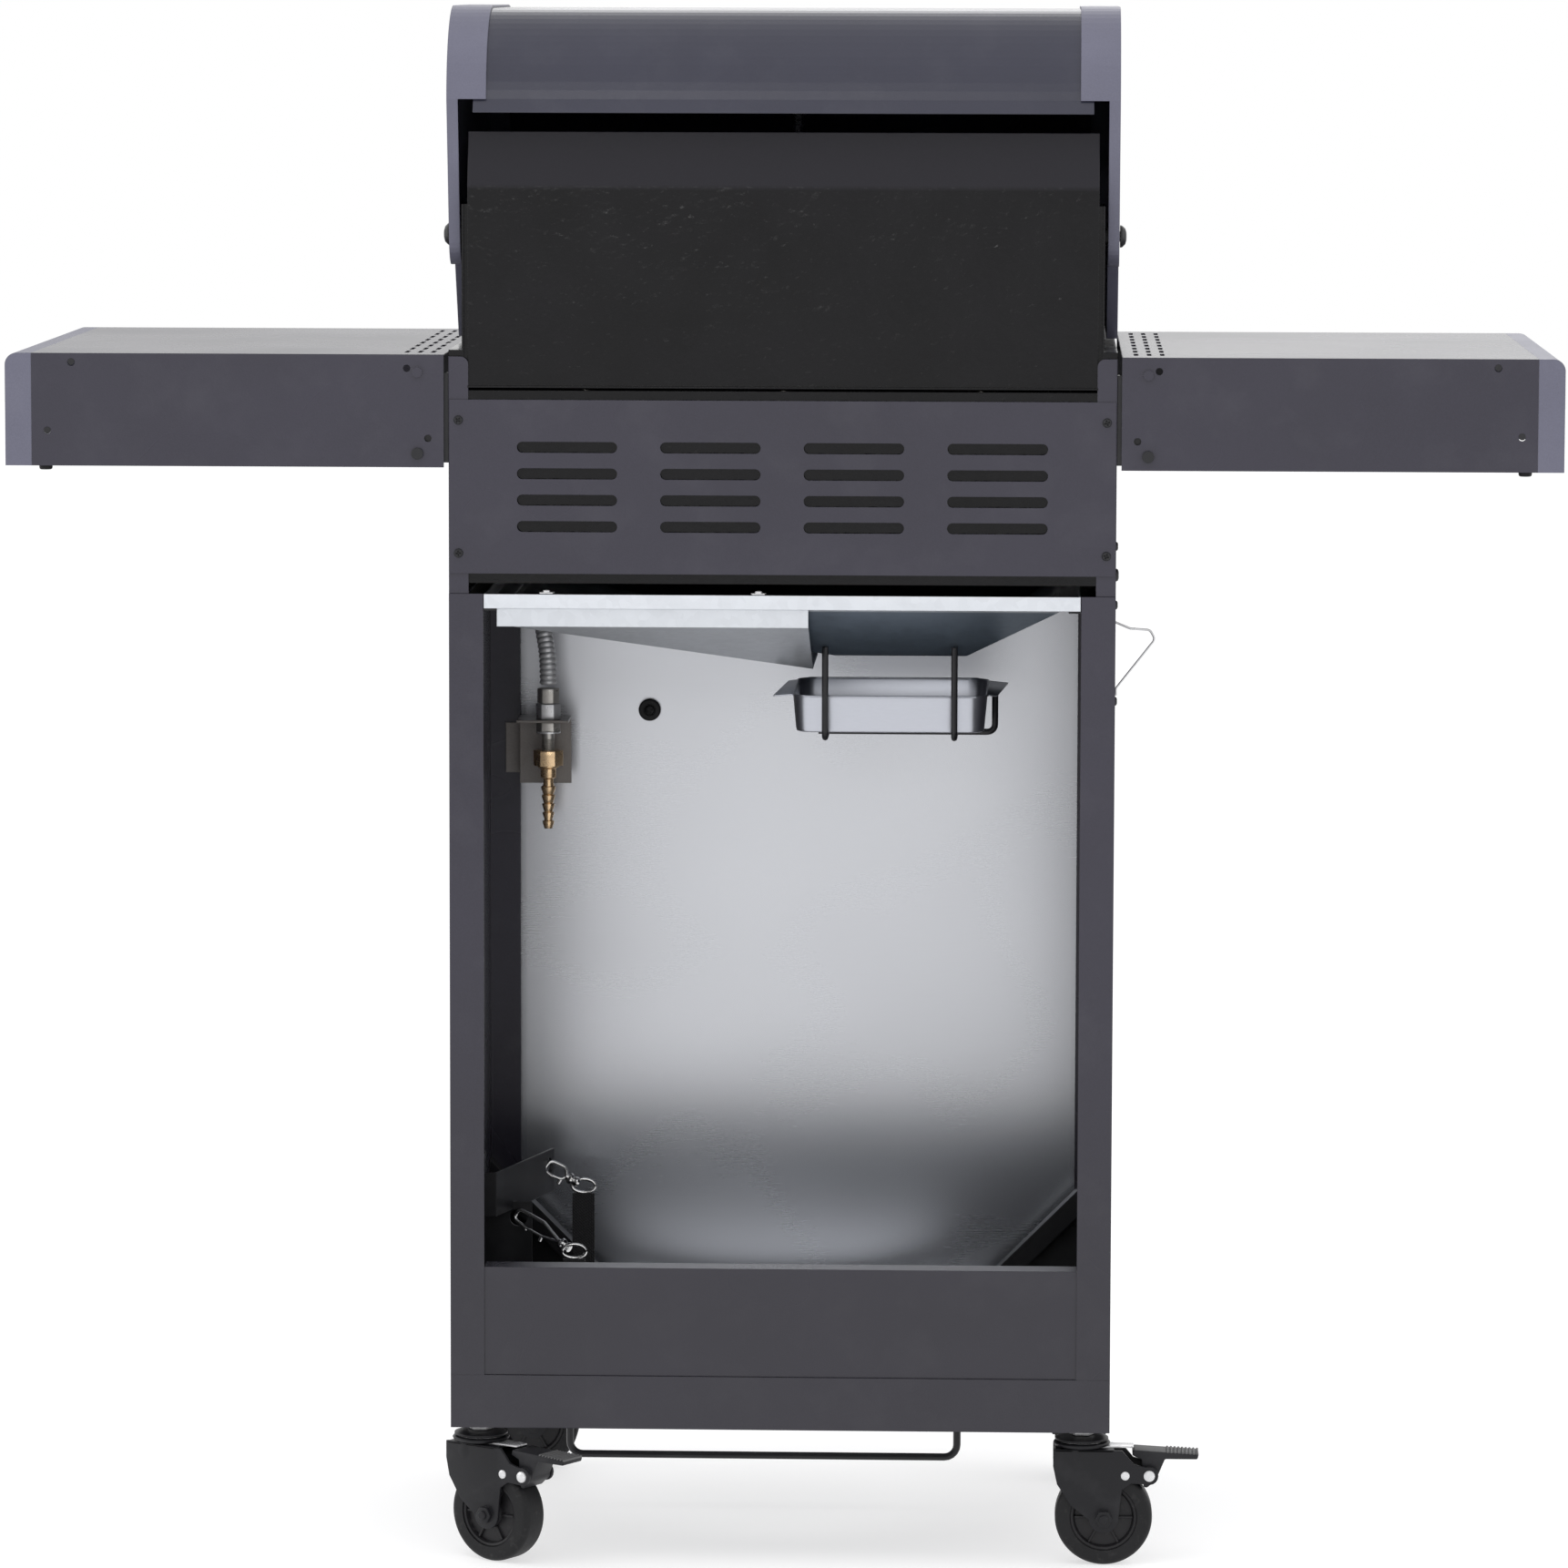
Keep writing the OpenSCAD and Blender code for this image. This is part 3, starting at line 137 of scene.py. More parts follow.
class Nodes:
    """Short calls for a material's nodes."""

    def __init__(self, name):
        self.name = name
        self.material = bpy.data.materials.new(name)
        self.material.use_nodes = True
        self.tree = self.material.node_tree
        self.shader = self.tree.nodes["Principled BSDF"]
        self.place = self.tree.nodes.new("ShaderNodeTexCoord").outputs["Object"]

    def add(self, kind, **values):
        node = self.tree.nodes.new(kind)
        for key, value in values.items():
            if hasattr(node, key):
                setattr(node, key, value)
            else:
                self.join(value, node.inputs[key.replace("_", " ")])
        return node

    def join(self, value, socket):
        if isinstance(value, bpy.types.NodeSocket):
            self.tree.links.new(value, socket)
        else:
            socket.default_value = value

    def stretch(self, x, y, z):
        node = self.add("ShaderNodeMapping")
        self.join(self.place, node.inputs["Vector"])
        node.inputs["Scale"].default_value = (x, y, z)
        return node.outputs["Vector"]

    def noise(self, scale, detail=3.0, rough=0.5, at=None):
        node = self.add("ShaderNodeTexNoise", Scale=scale, Detail=detail, Roughness=rough)
        self.join(self.place if at is None else at, node.inputs["Vector"])
        return node.outputs["Fac"]

    def cells(self, scale, at=None):
        node = self.add("ShaderNodeTexVoronoi", Scale=scale)
        self.join(self.place if at is None else at, node.inputs["Vector"])
        return node

    def span(self, value, low, high, start=0.3, end=0.7):
        node = self.add("ShaderNodeMapRange")
        self.join(value, node.inputs["Value"])
        for key, number in {"From Min": start, "From Max": end, "To Min": low, "To Max": high}.items():
            node.inputs[key].default_value = number
        return node.outputs["Result"]

    def blend(self, factor, one, two, mode="MIX"):
        node = self.add("ShaderNodeMix")
        node.data_type = "RGBA"
        node.blend_type = mode
        self.join(factor, node.inputs["Factor"])
        for socket, value in ((node.inputs[6], one), (node.inputs[7], two)):
            self.join(value if isinstance(value, bpy.types.NodeSocket) else (*value, 1.0), socket)
        return node.outputs[2]

    def maths(self, operation, one, two=0.0):
        node = self.add("ShaderNodeMath")
        node.operation = operation
        self.join(one, node.inputs[0])
        self.join(two, node.inputs[1])
        return node.outputs[0]

    def relief(self, height, strength, distance, normal=None):
        node = self.add("ShaderNodeBump")
        node.inputs["Strength"].default_value = strength
        node.inputs["Distance"].default_value = distance
        self.join(height, node.inputs["Height"])
        if normal is not None:
            self.join(normal, node.inputs["Normal"])
        return node.outputs["Normal"]

    def height(self):
        split = self.add("ShaderNodeSeparateXYZ")
        self.join(self.place, split.inputs[0])
        return split.outputs[2]

    def soft_edges(self, small=False):
        node = self.add("ShaderNodeBevel", samples=4)
        radius = bpy.context.scene.grill_finishes.edge_round
        node.inputs["Radius"].default_value = radius * (0.2 if small else 1.0)
        return node.outputs["Normal"]

    def done(self, colour_of, rough, normal, metallic=0.0, **constants):
        self.join(colour_of, self.shader.inputs["Base Color"])
        self.join(rough, self.shader.inputs["Roughness"])
        self.join(normal, self.shader.inputs["Normal"])
        self.shader.inputs["Metallic"].default_value = metallic
        for key, value in constants.items():
            self.shader.inputs[key.replace("_", " ")].default_value = value
        FINISHES[self.name] = self.material


def shade(tint, factor):
    return tuple(min(1.0, c * factor) for c in tint)


def powder_coat(name, tint, rough, grain=900.0, metal=0.0, coat=0.0, dust=0.12, shine=0.5, low=1.0):
    """Sprayed paint: fine grain, faint clouds, a little dust in the clouds' hollows and, where asked, painted
    shade towards the bottom.
    """
    n = Nodes(name)
    cloud = n.noise(7.0, 4.0, 0.6)
    fine = n.noise(grain, 2.0)
    tone = n.blend(n.span(cloud, 0.0, 1.0), shade(tint, 0.9), shade(tint, 1.1))
    tone = n.blend(n.span(fine, 0.0, 0.25), tone, shade(tint, 1.5))
    tone = n.blend(n.span(n.noise(24.0, 4.0, 0.6), 0.0, dust, 0.5, 0.8), tone, (0.3, 0.3, 0.32))
    # Painted shade: the paint is darkened towards the floor, standing in for the shade low on the cart.
    if low < 1.0:
        painted_shade = n.span(n.height(), 1.0, 0.0, PAINT_SHADE_FULL_Z, PAINT_SHADE_TOP_Z)
        tone = n.blend(painted_shade, tone, (low, low, low * 0.94), "MULTIPLY")
    gloss = n.span(n.noise(6.0, 2.0, 0.5), rough - 0.02, rough + 0.03)
    normal = n.relief(fine, 0.5, 0.00012, n.soft_edges())
    n.done(tone, gloss, normal, metal, Coat_Weight=coat, Coat_Roughness=0.18, Specular_IOR_Level=shine)


def glass_enamel(name, tint):
    """Fired enamel: deep gloss over an uneven, orange-peel surface, with painted light making the top strip
    much lighter.
    """
    n = Nodes(name)
    waves = n.noise(150.0, 2.0, 0.45)
    broad = n.noise(38.0, 2.0, 0.5)
    pits = n.cells(420.0).outputs["Distance"]
    height = n.maths("ADD", waves, n.maths("MULTIPLY", broad, 1.2))
    tone = n.blend(n.span(n.noise(11.0, 5.0, 0.6), 0.0, 1.0), tint, shade(tint, 2.4))
    tone = n.blend(n.span(pits, 0.25, 0.0, 0.05, 0.25), tone, shade(tint, 4.0))
    # Painted light: above the given height the enamel is made nine times lighter, standing in for the light on
    # the back wall's leaning top strip.
    tone = n.blend(n.span(n.height(), 0.0, 1.0, *PAINTED_LIGHT_STRIP_Z), tone, shade(tint, 9.0))
    gloss = n.span(n.noise(30.0, 4.0), 0.12, 0.22)
    normal = n.relief(height, 0.5, 0.001, n.soft_edges())
    n.done(tone, gloss, normal, 0.0, IOR=1.33)


def galvanised(name, tint, rough=0.36, spangle=150.0, painted_dark_below=None):
    """Zinc-coated sheet: pale crystals of slightly different grey and gloss, duller in patches, and, where
    asked, painted darkening under a height.
    """
    n = Nodes(name)
    crystal = n.cells(spangle).outputs["Color"]
    split = n.add("ShaderNodeSeparateColor")
    n.join(crystal, split.inputs[0])
    tone = n.blend(n.span(split.outputs[0], 0.0, 1.0, 0.0, 1.0), shade(tint, 0.965), shade(tint, 1.03))
    tone = n.blend(n.span(n.noise(22.0, 6.0, 0.7), 0.0, 0.3, 0.45, 0.75), tone, shade(tint, 0.82))
    # Painted shade: under the given height the sheet is darkened and cooled, standing in for the shade in the
    # grease tray's funnel.
    if painted_dark_below is not None:
        below = n.span(n.height(), 1.0, 0.0, painted_dark_below - 0.001, painted_dark_below)
        tone = n.blend(below, tone, (0.3, 0.36, 0.42), "MULTIPLY")
    gloss = n.span(split.outputs[1], rough - 0.03, rough + 0.04, 0.0, 1.0)
    normal = n.relief(n.noise(420.0, 3.0), 0.3, 0.0002, n.soft_edges())
    n.done(tone, gloss, normal, 0.85)


def brushed(name, tint, rough, lines, strength=0.35, metal=0.9, lines_tone=0.08, painted_dark_below=None):
    """Brushed metal: long fine lines, faint smears where hands have been and, where asked, painted darkening
    under a height.
    """
    n = Nodes(name)
    hair = n.noise(60.0, 4.0, 0.6, n.stretch(*lines))
    smear = n.noise(5.0, 1.5, 0.4)
    tone = n.blend(n.span(hair, 0.0, 1.0), shade(tint, 1.0 - lines_tone), shade(tint, 1.0 + lines_tone))
    tone = n.blend(n.span(smear, 0.0, 0.12, 0.3, 0.7), tone, shade(tint, 0.8))
    # Painted reflection: under the given height the metal is darkened and cooled a little, standing in for the
    # dark bottom shelf mirrored in the door.
    if painted_dark_below is not None:
        below = n.span(n.height(), 1.0, 0.0, painted_dark_below - 0.06, painted_dark_below)
        tone = n.blend(below, tone, (0.91, 0.93, 0.97), "MULTIPLY")
    spread = 0.6 * lines_tone
    gloss = n.maths("ADD", n.span(hair, rough - spread, rough + spread), n.span(smear, -0.02, 0.02))
    normal = n.relief(hair, strength, 0.00012, n.soft_edges())
    n.done(tone, gloss, normal, metal)


def plated(name, tint, rough=0.22, metal=1.0, stain=0.3):
    """Bright plated or turned metal with fine marks and a little tarnish in patches."""
    n = Nodes(name)
    marks = n.noise(700.0, 4.0, 0.6)
    patch = n.noise(85.0, 5.0, 0.65)
    tone = n.blend(n.span(patch, 0.0, stain, 0.4, 0.75), tint, shade(tint, 0.45))
    gloss = n.maths("ADD", n.span(patch, rough - 0.06, rough + 0.12), n.span(marks, -0.03, 0.03))
    n.done(tone, gloss, n.relief(marks, 0.25, 0.0001, n.soft_edges(True)), metal)


def cast_iron(name):
    n = Nodes(name)
    sand = n.noise(480.0, 5.0, 0.7)
    rust = n.noise(42.0, 6.0, 0.7)
    tone = n.blend(n.span(sand, 0.0, 1.0), (0.012, 0.012, 0.013), (0.035, 0.034, 0.034))
    tone = n.blend(n.span(rust, 0.0, 0.3, 0.58, 0.8), tone, (0.07, 0.035, 0.02))
    n.done(tone, n.span(sand, 0.48, 0.72), n.relief(sand, 0.7, 0.0005, n.soft_edges()), 0.2)


def moulded(name, tint, rough, grain=1500.0):
    """Moulded rubber or plastic: fine grain, dusty highlights on worn spots."""
    n = Nodes(name)
    skin = n.noise(grain, 3.0)
    scuff = n.noise(130.0, 6.0, 0.75)
    tone = n.blend(n.span(n.noise(33.0, 4.0), 0.0, 1.0), shade(tint, 0.85), shade(tint, 1.25))
    tone = n.blend(n.span(scuff, 0.0, 0.22, 0.55, 0.8), tone, (0.16, 0.155, 0.15))
    gloss = n.span(scuff, rough - 0.06, rough + 0.12)
    n.done(tone, gloss, n.relief(skin, 0.4, 0.00015, n.soft_edges(True)), Specular_IOR_Level=0.28)


def webbing(name):
    """Woven strap: twill rows across it and ribs along it, in the strap's own UV map."""
    n = Nodes(name)
    uv = n.tree.nodes["Texture Coordinate"].outputs["UV"]
    rows = n.add("ShaderNodeTexWave", bands_direction="DIAGONAL", Scale=260.0, Distortion=0.6)
    ribs = n.add("ShaderNodeTexWave", bands_direction="X", Scale=190.0, Distortion=0.2)
    for wave in (rows, ribs):
        n.join(uv, wave.inputs["Vector"])
    weave = n.maths("MULTIPLY", rows.outputs["Fac"], ribs.outputs["Fac"])
    fuzz = n.noise(2600.0, 3.0)
    tone = n.blend(n.span(weave, 0.0, 1.0, 0.0, 1.0), (0.004, 0.004, 0.005), (0.02, 0.02, 0.023))
    tone = n.blend(n.span(fuzz, 0.0, 0.3, 0.5, 0.8), tone, (0.05, 0.05, 0.055))
    normal = n.relief(n.maths("ADD", weave, n.maths("MULTIPLY", fuzz, 0.3)), 0.9, 0.0005)
    n.done(tone, n.span(weave, 0.9, 0.7, 0.0, 1.0), normal, 0.0, Sheen_Weight=0.35, Sheen_Roughness=0.4)


def clear_glass(name):
    n = Nodes(name)
    smear = n.noise(70.0, 4.0)
    tone = n.blend(n.span(smear, 0.0, 1.0), (0.93, 0.96, 0.96), (1.0, 1.0, 1.0))
    gloss = n.span(smear, 0.02, 0.07)
    n.done(tone, gloss, n.relief(smear, 0.05, 0.0001), Transmission_Weight=1.0, IOR=1.45)


def make_finishes():
    f = bpy.context.scene.grill_finishes
    # The body paint gets painted shade low on the cart.
    powder_coat("body_paint", tuple(f.paint), 0.27, dust=0.03, low=0.68)
    powder_coat("lid_paint", tuple(f.lid_paint), 0.23, grain=1300.0, metal=0.05, coat=0.05, dust=0.03)
    powder_coat("trim_paint", tuple(f.trim), 0.42, grain=1100.0, metal=0.2, dust=0.04)
    powder_coat("black_coat", tuple(f.black), 0.34, grain=1500.0, dust=0.04, shine=0.35)
    powder_coat("brown_primer", (0.17, 0.155, 0.145), 0.38, grain=700.0, dust=0.2, metal=0.35)
    powder_coat("housing_black", (0.009, 0.009, 0.011), 0.4, grain=1700.0, dust=0.05, shine=0.25)
    glass_enamel("enamel", tuple(f.enamel))
    # The grease tray gets painted shade in its funnel.
    galvanised("galvanised", tuple(f.zinc), painted_dark_below=FUNNEL_SHADE_Z)
    galvanised("shield_sheet", shade(tuple(f.zinc), 0.94), 0.4, 190.0)
    # The door gets a painted reflection along its lower part.
    brushed("door_steel", tuple(f.steel), 0.27, (1.0, 1.0, 26.0), 0.004, 0.95, 0.008, DOOR_REFLECTION_Z)
    brushed("handle_steel", shade(tuple(f.steel), 1.05), 0.24, (0.6, 18.0, 18.0))
    brushed("burner_steel", (0.42, 0.4, 0.37), 0.38, (18.0, 0.6, 18.0))
    brushed("cup_aluminium", (0.5, 0.515, 0.565), 0.3, (3.0, 3.0, 12.0), 0.06, 0.95, 0.02)
    plated("bright_zinc", (0.7, 0.7, 0.71), 0.28, 0.6)
    plated("nut_steel", (0.5, 0.48, 0.45), 0.3, 0.65, stain=0.4)
    plated("hose_steel", (0.6, 0.6, 0.61), 0.34, 0.45, stain=0.25)
    plated("chrome", (0.78, 0.78, 0.78), 0.12, stain=0.15)
    plated("brass", tuple(f.brass), 0.24, 0.8, stain=0.35)
    cast_iron("cast_iron")
    moulded("tyre_rubber", (0.0055, 0.0055, 0.0065), 0.5)
    moulded("hub_plastic", (0.011, 0.0105, 0.012), 0.42)
    moulded("knob_plastic", (0.01, 0.01, 0.011), 0.34)
    moulded("pedal_plastic", (0.1, 0.1, 0.102), 0.5)
    moulded("dial_white", (0.7, 0.7, 0.68), 0.4)
    moulded("print_black", (0.01, 0.01, 0.01), 0.5)
    moulded("pointer_red", (0.5, 0.02, 0.015), 0.4)
    webbing("strap_weave")
    clear_glass("dial_glass")


# ---------------------------------------------------------------- mesh tools


def aim(direction):
    """Rotation that takes +Z to a direction."""
    return Vector(UP).rotation_difference(Vector(direction)).to_matrix().to_4x4()


def turned(degrees, axis="Z"):
    return Matrix.Rotation(math.radians(degrees), 4, axis)


def moved(x, y, z):
    """A shift, in millimetres."""
    return Matrix.Translation((x * MM, y * MM, z * MM))


def bevelled(part, round_by, segments=2, edges=None):
    bmesh.ops.bevel(
        part, geom=edges or list(part.edges), offset=round_by * MM, segments=segments, profile=0.5,
        affect="EDGES", clamp_overlap=True, material=-1,
    )


def new_object(name, data):
    thing = bpy.data.objects.new(name, data)
    bpy.context.scene.collection.objects.link(thing)
    return thing


def rod(r, low, high):
    """Profile of a plain pin."""
    return [(0, low), (r, low), (r, high), (0, high)]


def sleeve(inner, outer, low, high):
    """Profile of a plain washer or spacer."""
    return [(inner, low), (outer, low), (outer, high), (inner, high), (inner, low)]


class Piece:
    """One visible piece, put together from lathed, bevelled and drawn parts."""

    def __init__(self, name, *finishes):
        self.name = name
        self.finishes = finishes
        self.mesh = bmesh.new()

    def keep(self, part, finish, place=None):
        """Joins a part, in metres, with one of the piece's finishes."""
        bmesh.ops.recalc_face_normals(part, faces=part.faces)
        if place is not None:
            bmesh.ops.transform(part, matrix=place, verts=part.verts)
        for face in part.faces:
            face.material_index = finish
        held = bpy.data.meshes.new("part")
        part.to_mesh(held)
        part.free()
        self.mesh.from_mesh(held)
        bpy.data.meshes.remove(held)

    def lathe(self, profile, at=(0, 0, 0), axis=UP, finish=0, steps=40, place=None):
        """Turns (radius, height) points, in millimetres, round an axis."""
        part = bmesh.new()
        row = [part.verts.new((r * MM, 0, h * MM)) for r, h in profile]
        edges = [part.edges.new(pair) for pair in zip(row, row[1:])]
        bmesh.ops.spin(
            part, geom=row + edges, cent=(0, 0, 0), axis=UP, angle=2 * math.pi, steps=steps, use_merge=True
        )
        bmesh.ops.remove_doubles(part, verts=part.verts, dist=1e-6)
        self.keep(part, finish, (place or Matrix()) @ Matrix.Translation(Vector(at) * MM) @ aim(axis))

    def block(self, low, high, round_by=0.6, finish=0, place=None, segments=2):
        """A box with rounded edges, in millimetres."""
        part = bmesh.new()
        bmesh.ops.create_cube(part, size=1.0)
        size = [(b - a) * MM for a, b in zip(low, high)]
        middle = [(a + b) / 2 * MM for a, b in zip(low, high)]
        bmesh.ops.scale(part, vec=size, verts=part.verts)
        bmesh.ops.translate(part, vec=middle, verts=part.verts)
        bevelled(part, round_by, segments)
        self.keep(part, finish, place)

    def plate(self, outline, thick, round_by=0.4, finish=0, place=None):
        """An outline in the X-Y plane, in millimetres, thickened upwards and rounded."""
        part = bmesh.new()
        face = part.faces.new([part.verts.new((x * MM, y * MM, 0)) for x, y in outline])
        grown = bmesh.ops.extrude_face_region(part, geom=[face])["geom"]
        upper = [v for v in grown if isinstance(v, bmesh.types.BMVert)]
        bmesh.ops.translate(part, vec=(0, 0, thick * MM), verts=upper)
        bmesh.ops.recalc_face_normals(part, faces=part.faces)
        sharp = [e for e in part.edges if e.calc_face_angle(0.0) > SHARP_ANGLE]
        bevelled(part, round_by, 2, sharp)
        self.keep(part, finish, place)

    def drawn(self, path, section, closed=False, uv=False):
        """Draws a section (offsets in millimetres, side and up) along a path in millimetres."""
        points = [Vector(p) * MM for p in path]
        count = len(points)
        part = bmesh.new()
        layer = part.loops.layers.uv.new("along") if uv else None
        ring = [part.verts.new((0, 0, 0)) for _ in section]
        edges = [part.edges.new((ring[i], ring[(i + 1) % len(ring)])) for i in range(len(ring))]
        tangent = (points[1] - points[0]).normalized()
        side = tangent.cross(Vector((0, 0, 1)) if abs(tangent.z) < 0.9 else Vector((0, -1, 0))).normalized()
        first, along = ring, 0.0
        for i in range(count + (1 if closed else 0)):
            here = points[i % count]
            ahead = points[(i + 1) % count] if closed or i < count - 1 else here
            back = points[i - 1] if closed or i > 0 else here
            heading = (ahead - back).normalized()
            side = tangent.rotation_difference(heading) @ side
            tangent = heading
            up = tangent.cross(side)
            if i > 0:
                grown = bmesh.ops.extrude_edge_only(part, edges=edges)["geom"]
                fresh = [v for v in grown if isinstance(v, bmesh.types.BMVert)]
                rungs = [(old, e.other_vert(old)) for old in ring for e in old.link_edges]
                chain = {old: new for old, new in rungs if new in fresh}
                ring = [chain[v] for v in ring]
                edges = [part.edges.get((ring[k], ring[(k + 1) % len(ring)])) for k in range(len(ring))]
            for vert, (s, u) in zip(ring, section):
                vert.co = here + side * s * MM + up * u * MM
        if closed:
            bmesh.ops.remove_doubles(part, verts=part.verts, dist=1e-6)
        else:
            part.faces.new(first)
            part.faces.new(ring)
        if layer is not None:
            self.unroll(part, layer, points)
        self.keep(part, 0)

    def unroll(self, part, layer, points):
        """Gives a drawn strap its own flat coordinates: X across it, distance along it."""
        total, marks = 0.0, []
        for a, b in zip(points, points[1:]):
            marks.append((a, b, total))
            total += (b - a).length
        for face in part.faces:
            for loop in face.loops:
                a, b, start = min(marks, key=lambda m: ((m[0] + m[1]) / 2 - loop.vert.co).length)
                along = start + (loop.vert.co - a).dot((b - a).normalized())
                loop[layer].uv = (loop.vert.co.x, along)

    def wire(self, path, d, closed=False):
        turns = [2 * math.pi * k / WIRE_SIDES for k in range(WIRE_SIDES)]
        self.drawn(path, [(d / 2 * math.cos(t), d / 2 * math.sin(t)) for t in turns], closed)

    def hex_nut(self, at, axis, across, high, finish=0, place=None):
        """A hexagon with chamfered corners."""
        part = bmesh.new()
        r = across / 1.732 * MM
        bmesh.ops.create_cone(part, cap_ends=True, segments=6, radius1=r, radius2=r, depth=high * MM)
        flats = Matrix.Rotation(math.radians(30), 3, "Z")
        bmesh.ops.rotate(part, cent=(0, 0, 0), matrix=flats, verts=part.verts)
        bmesh.ops.translate(part, vec=(0, 0, high / 2 * MM), verts=part.verts)
        bevelled(part, 0.5, 2)
        self.keep(part, finish, (place or Matrix()) @ Matrix.Translation(Vector(at) * MM) @ aim(axis))

    def finish(self, body, replaced, slot_name):
        """Makes the object, gives it its finishes and lets it ride on its body."""
        data = bpy.data.meshes.new(self.name)
        for face in self.mesh.faces:
            face.smooth = True
        for edge in self.mesh.edges:
            if len(edge.link_faces) == 2 and edge.calc_face_angle(0.0) > SHARP_ANGLE:
                edge.smooth = False
        self.mesh.to_mesh(data)
        self.mesh.free()
        for name in self.finishes:
            data.materials.append(FINISHES[name])
        piece = new_object(self.name, data)
        if replaced:
            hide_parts(*replaced)
        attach(piece, body)
        return piece


def bend(points, radius, steps=5):
    """A path whose corners are rounded, in millimetres."""
    path = [Vector(points[0])]
    for a, b, c in zip(points, points[1:], points[2:]):
        a, b, c = Vector(a), Vector(b), Vector(c)
        u, v = (a - b).normalized(), (c - b).normalized()
        half = u.angle(v) / 2
        cut = min(radius / math.tan(half), (a - b).length * 0.49, (c - b).length * 0.49)
        start, end = b + u * cut, b + v * cut
        for i in range(steps + 1):
            t = i / steps
            path.append((1 - t) ** 2 * start + 2 * t * (1 - t) * b + t * t * end)
    path.append(Vector(points[-1]))
    return path


def flowing(points, steps):
    """A smooth path through the given points."""
    last = len(points) - 1
    path = []
    for i in range(last):
        a, b, c, d = (Vector(points[max(0, min(last, k))]) for k in (i - 1, i, i + 1, i + 2))
        for k in range(steps):
            t = k / steps
            square, cube = (2 * a - 5 * b + 4 * c - d) * t * t, (3 * b - a - 3 * c + d) * t**3
            path.append(0.5 * (2 * b + (c - a) * t + square + cube))
    path.append(Vector(points[-1]))
    return path


def arc(cx, cy, r, start, end, steps):
    """Points on a circle from one angle to another, in degrees."""
    turns = [math.radians(start + (end - start) * i / steps) for i in range(steps + 1)]
    return [(cx + r * math.cos(t), cy + r * math.sin(t)) for t in turns]


def screw_head(d, high):
    """One pan-head screw that points along +Z, with a cross cut into its head."""
    r = d / 2
    head = Piece("screw")
    head.lathe(
        [(0, 0), (r, 0), (r, high * 0.35), (r * 0.86, high * 0.78), (r * 0.5, high), (0, high)], steps=24
    )
    held = []
    for part, blades in ((head.mesh, False), (bmesh.new(), True)):
        if blades:
            for turn in (0, 90):
                blade = bmesh.ops.create_cube(part, size=1.0)["verts"]
                spin = Matrix.Rotation(math.radians(turn), 3, "Z")
                bmesh.ops.scale(part, vec=(r * 1.15 * MM, r * 0.3 * MM, high * MM), verts=blade)
                bmesh.ops.translate(part, vec=(0, 0, high * 0.95 * MM), verts=blade)
                bmesh.ops.rotate(part, cent=(0, 0, 0), matrix=spin, verts=blade)
        data = bpy.data.meshes.new("cut")
        part.to_mesh(data)
        part.free()
        held.append(new_object("cut", data))
    cut = held[0].modifiers.new("cross", "BOOLEAN")
    cut.operation, cut.object, cut.solver, cut.use_self = "DIFFERENCE", held[1], "EXACT", True
    bpy.context.view_layer.update()
    result = bmesh.new()
    result.from_mesh(held[0].evaluated_get(bpy.context.evaluated_depsgraph_get()).to_mesh())
    for thing in held:
        data = thing.data
        bpy.data.objects.remove(thing)
        bpy.data.meshes.remove(data)
    return result


def put_screws(piece, places, d=7.0, high=2.2, finish=0):
    """Copies of one screw head at (point in millimetres, direction, turn in degrees)."""
    one = screw_head(d, high)
    for at, axis, turn in places:
        piece.keep(one.copy(), finish, Matrix.Translation(Vector(at) * MM) @ aim(axis) @ turned(turn))
    one.free()


# ---------------------------------------------------------------- pieces, one operator each


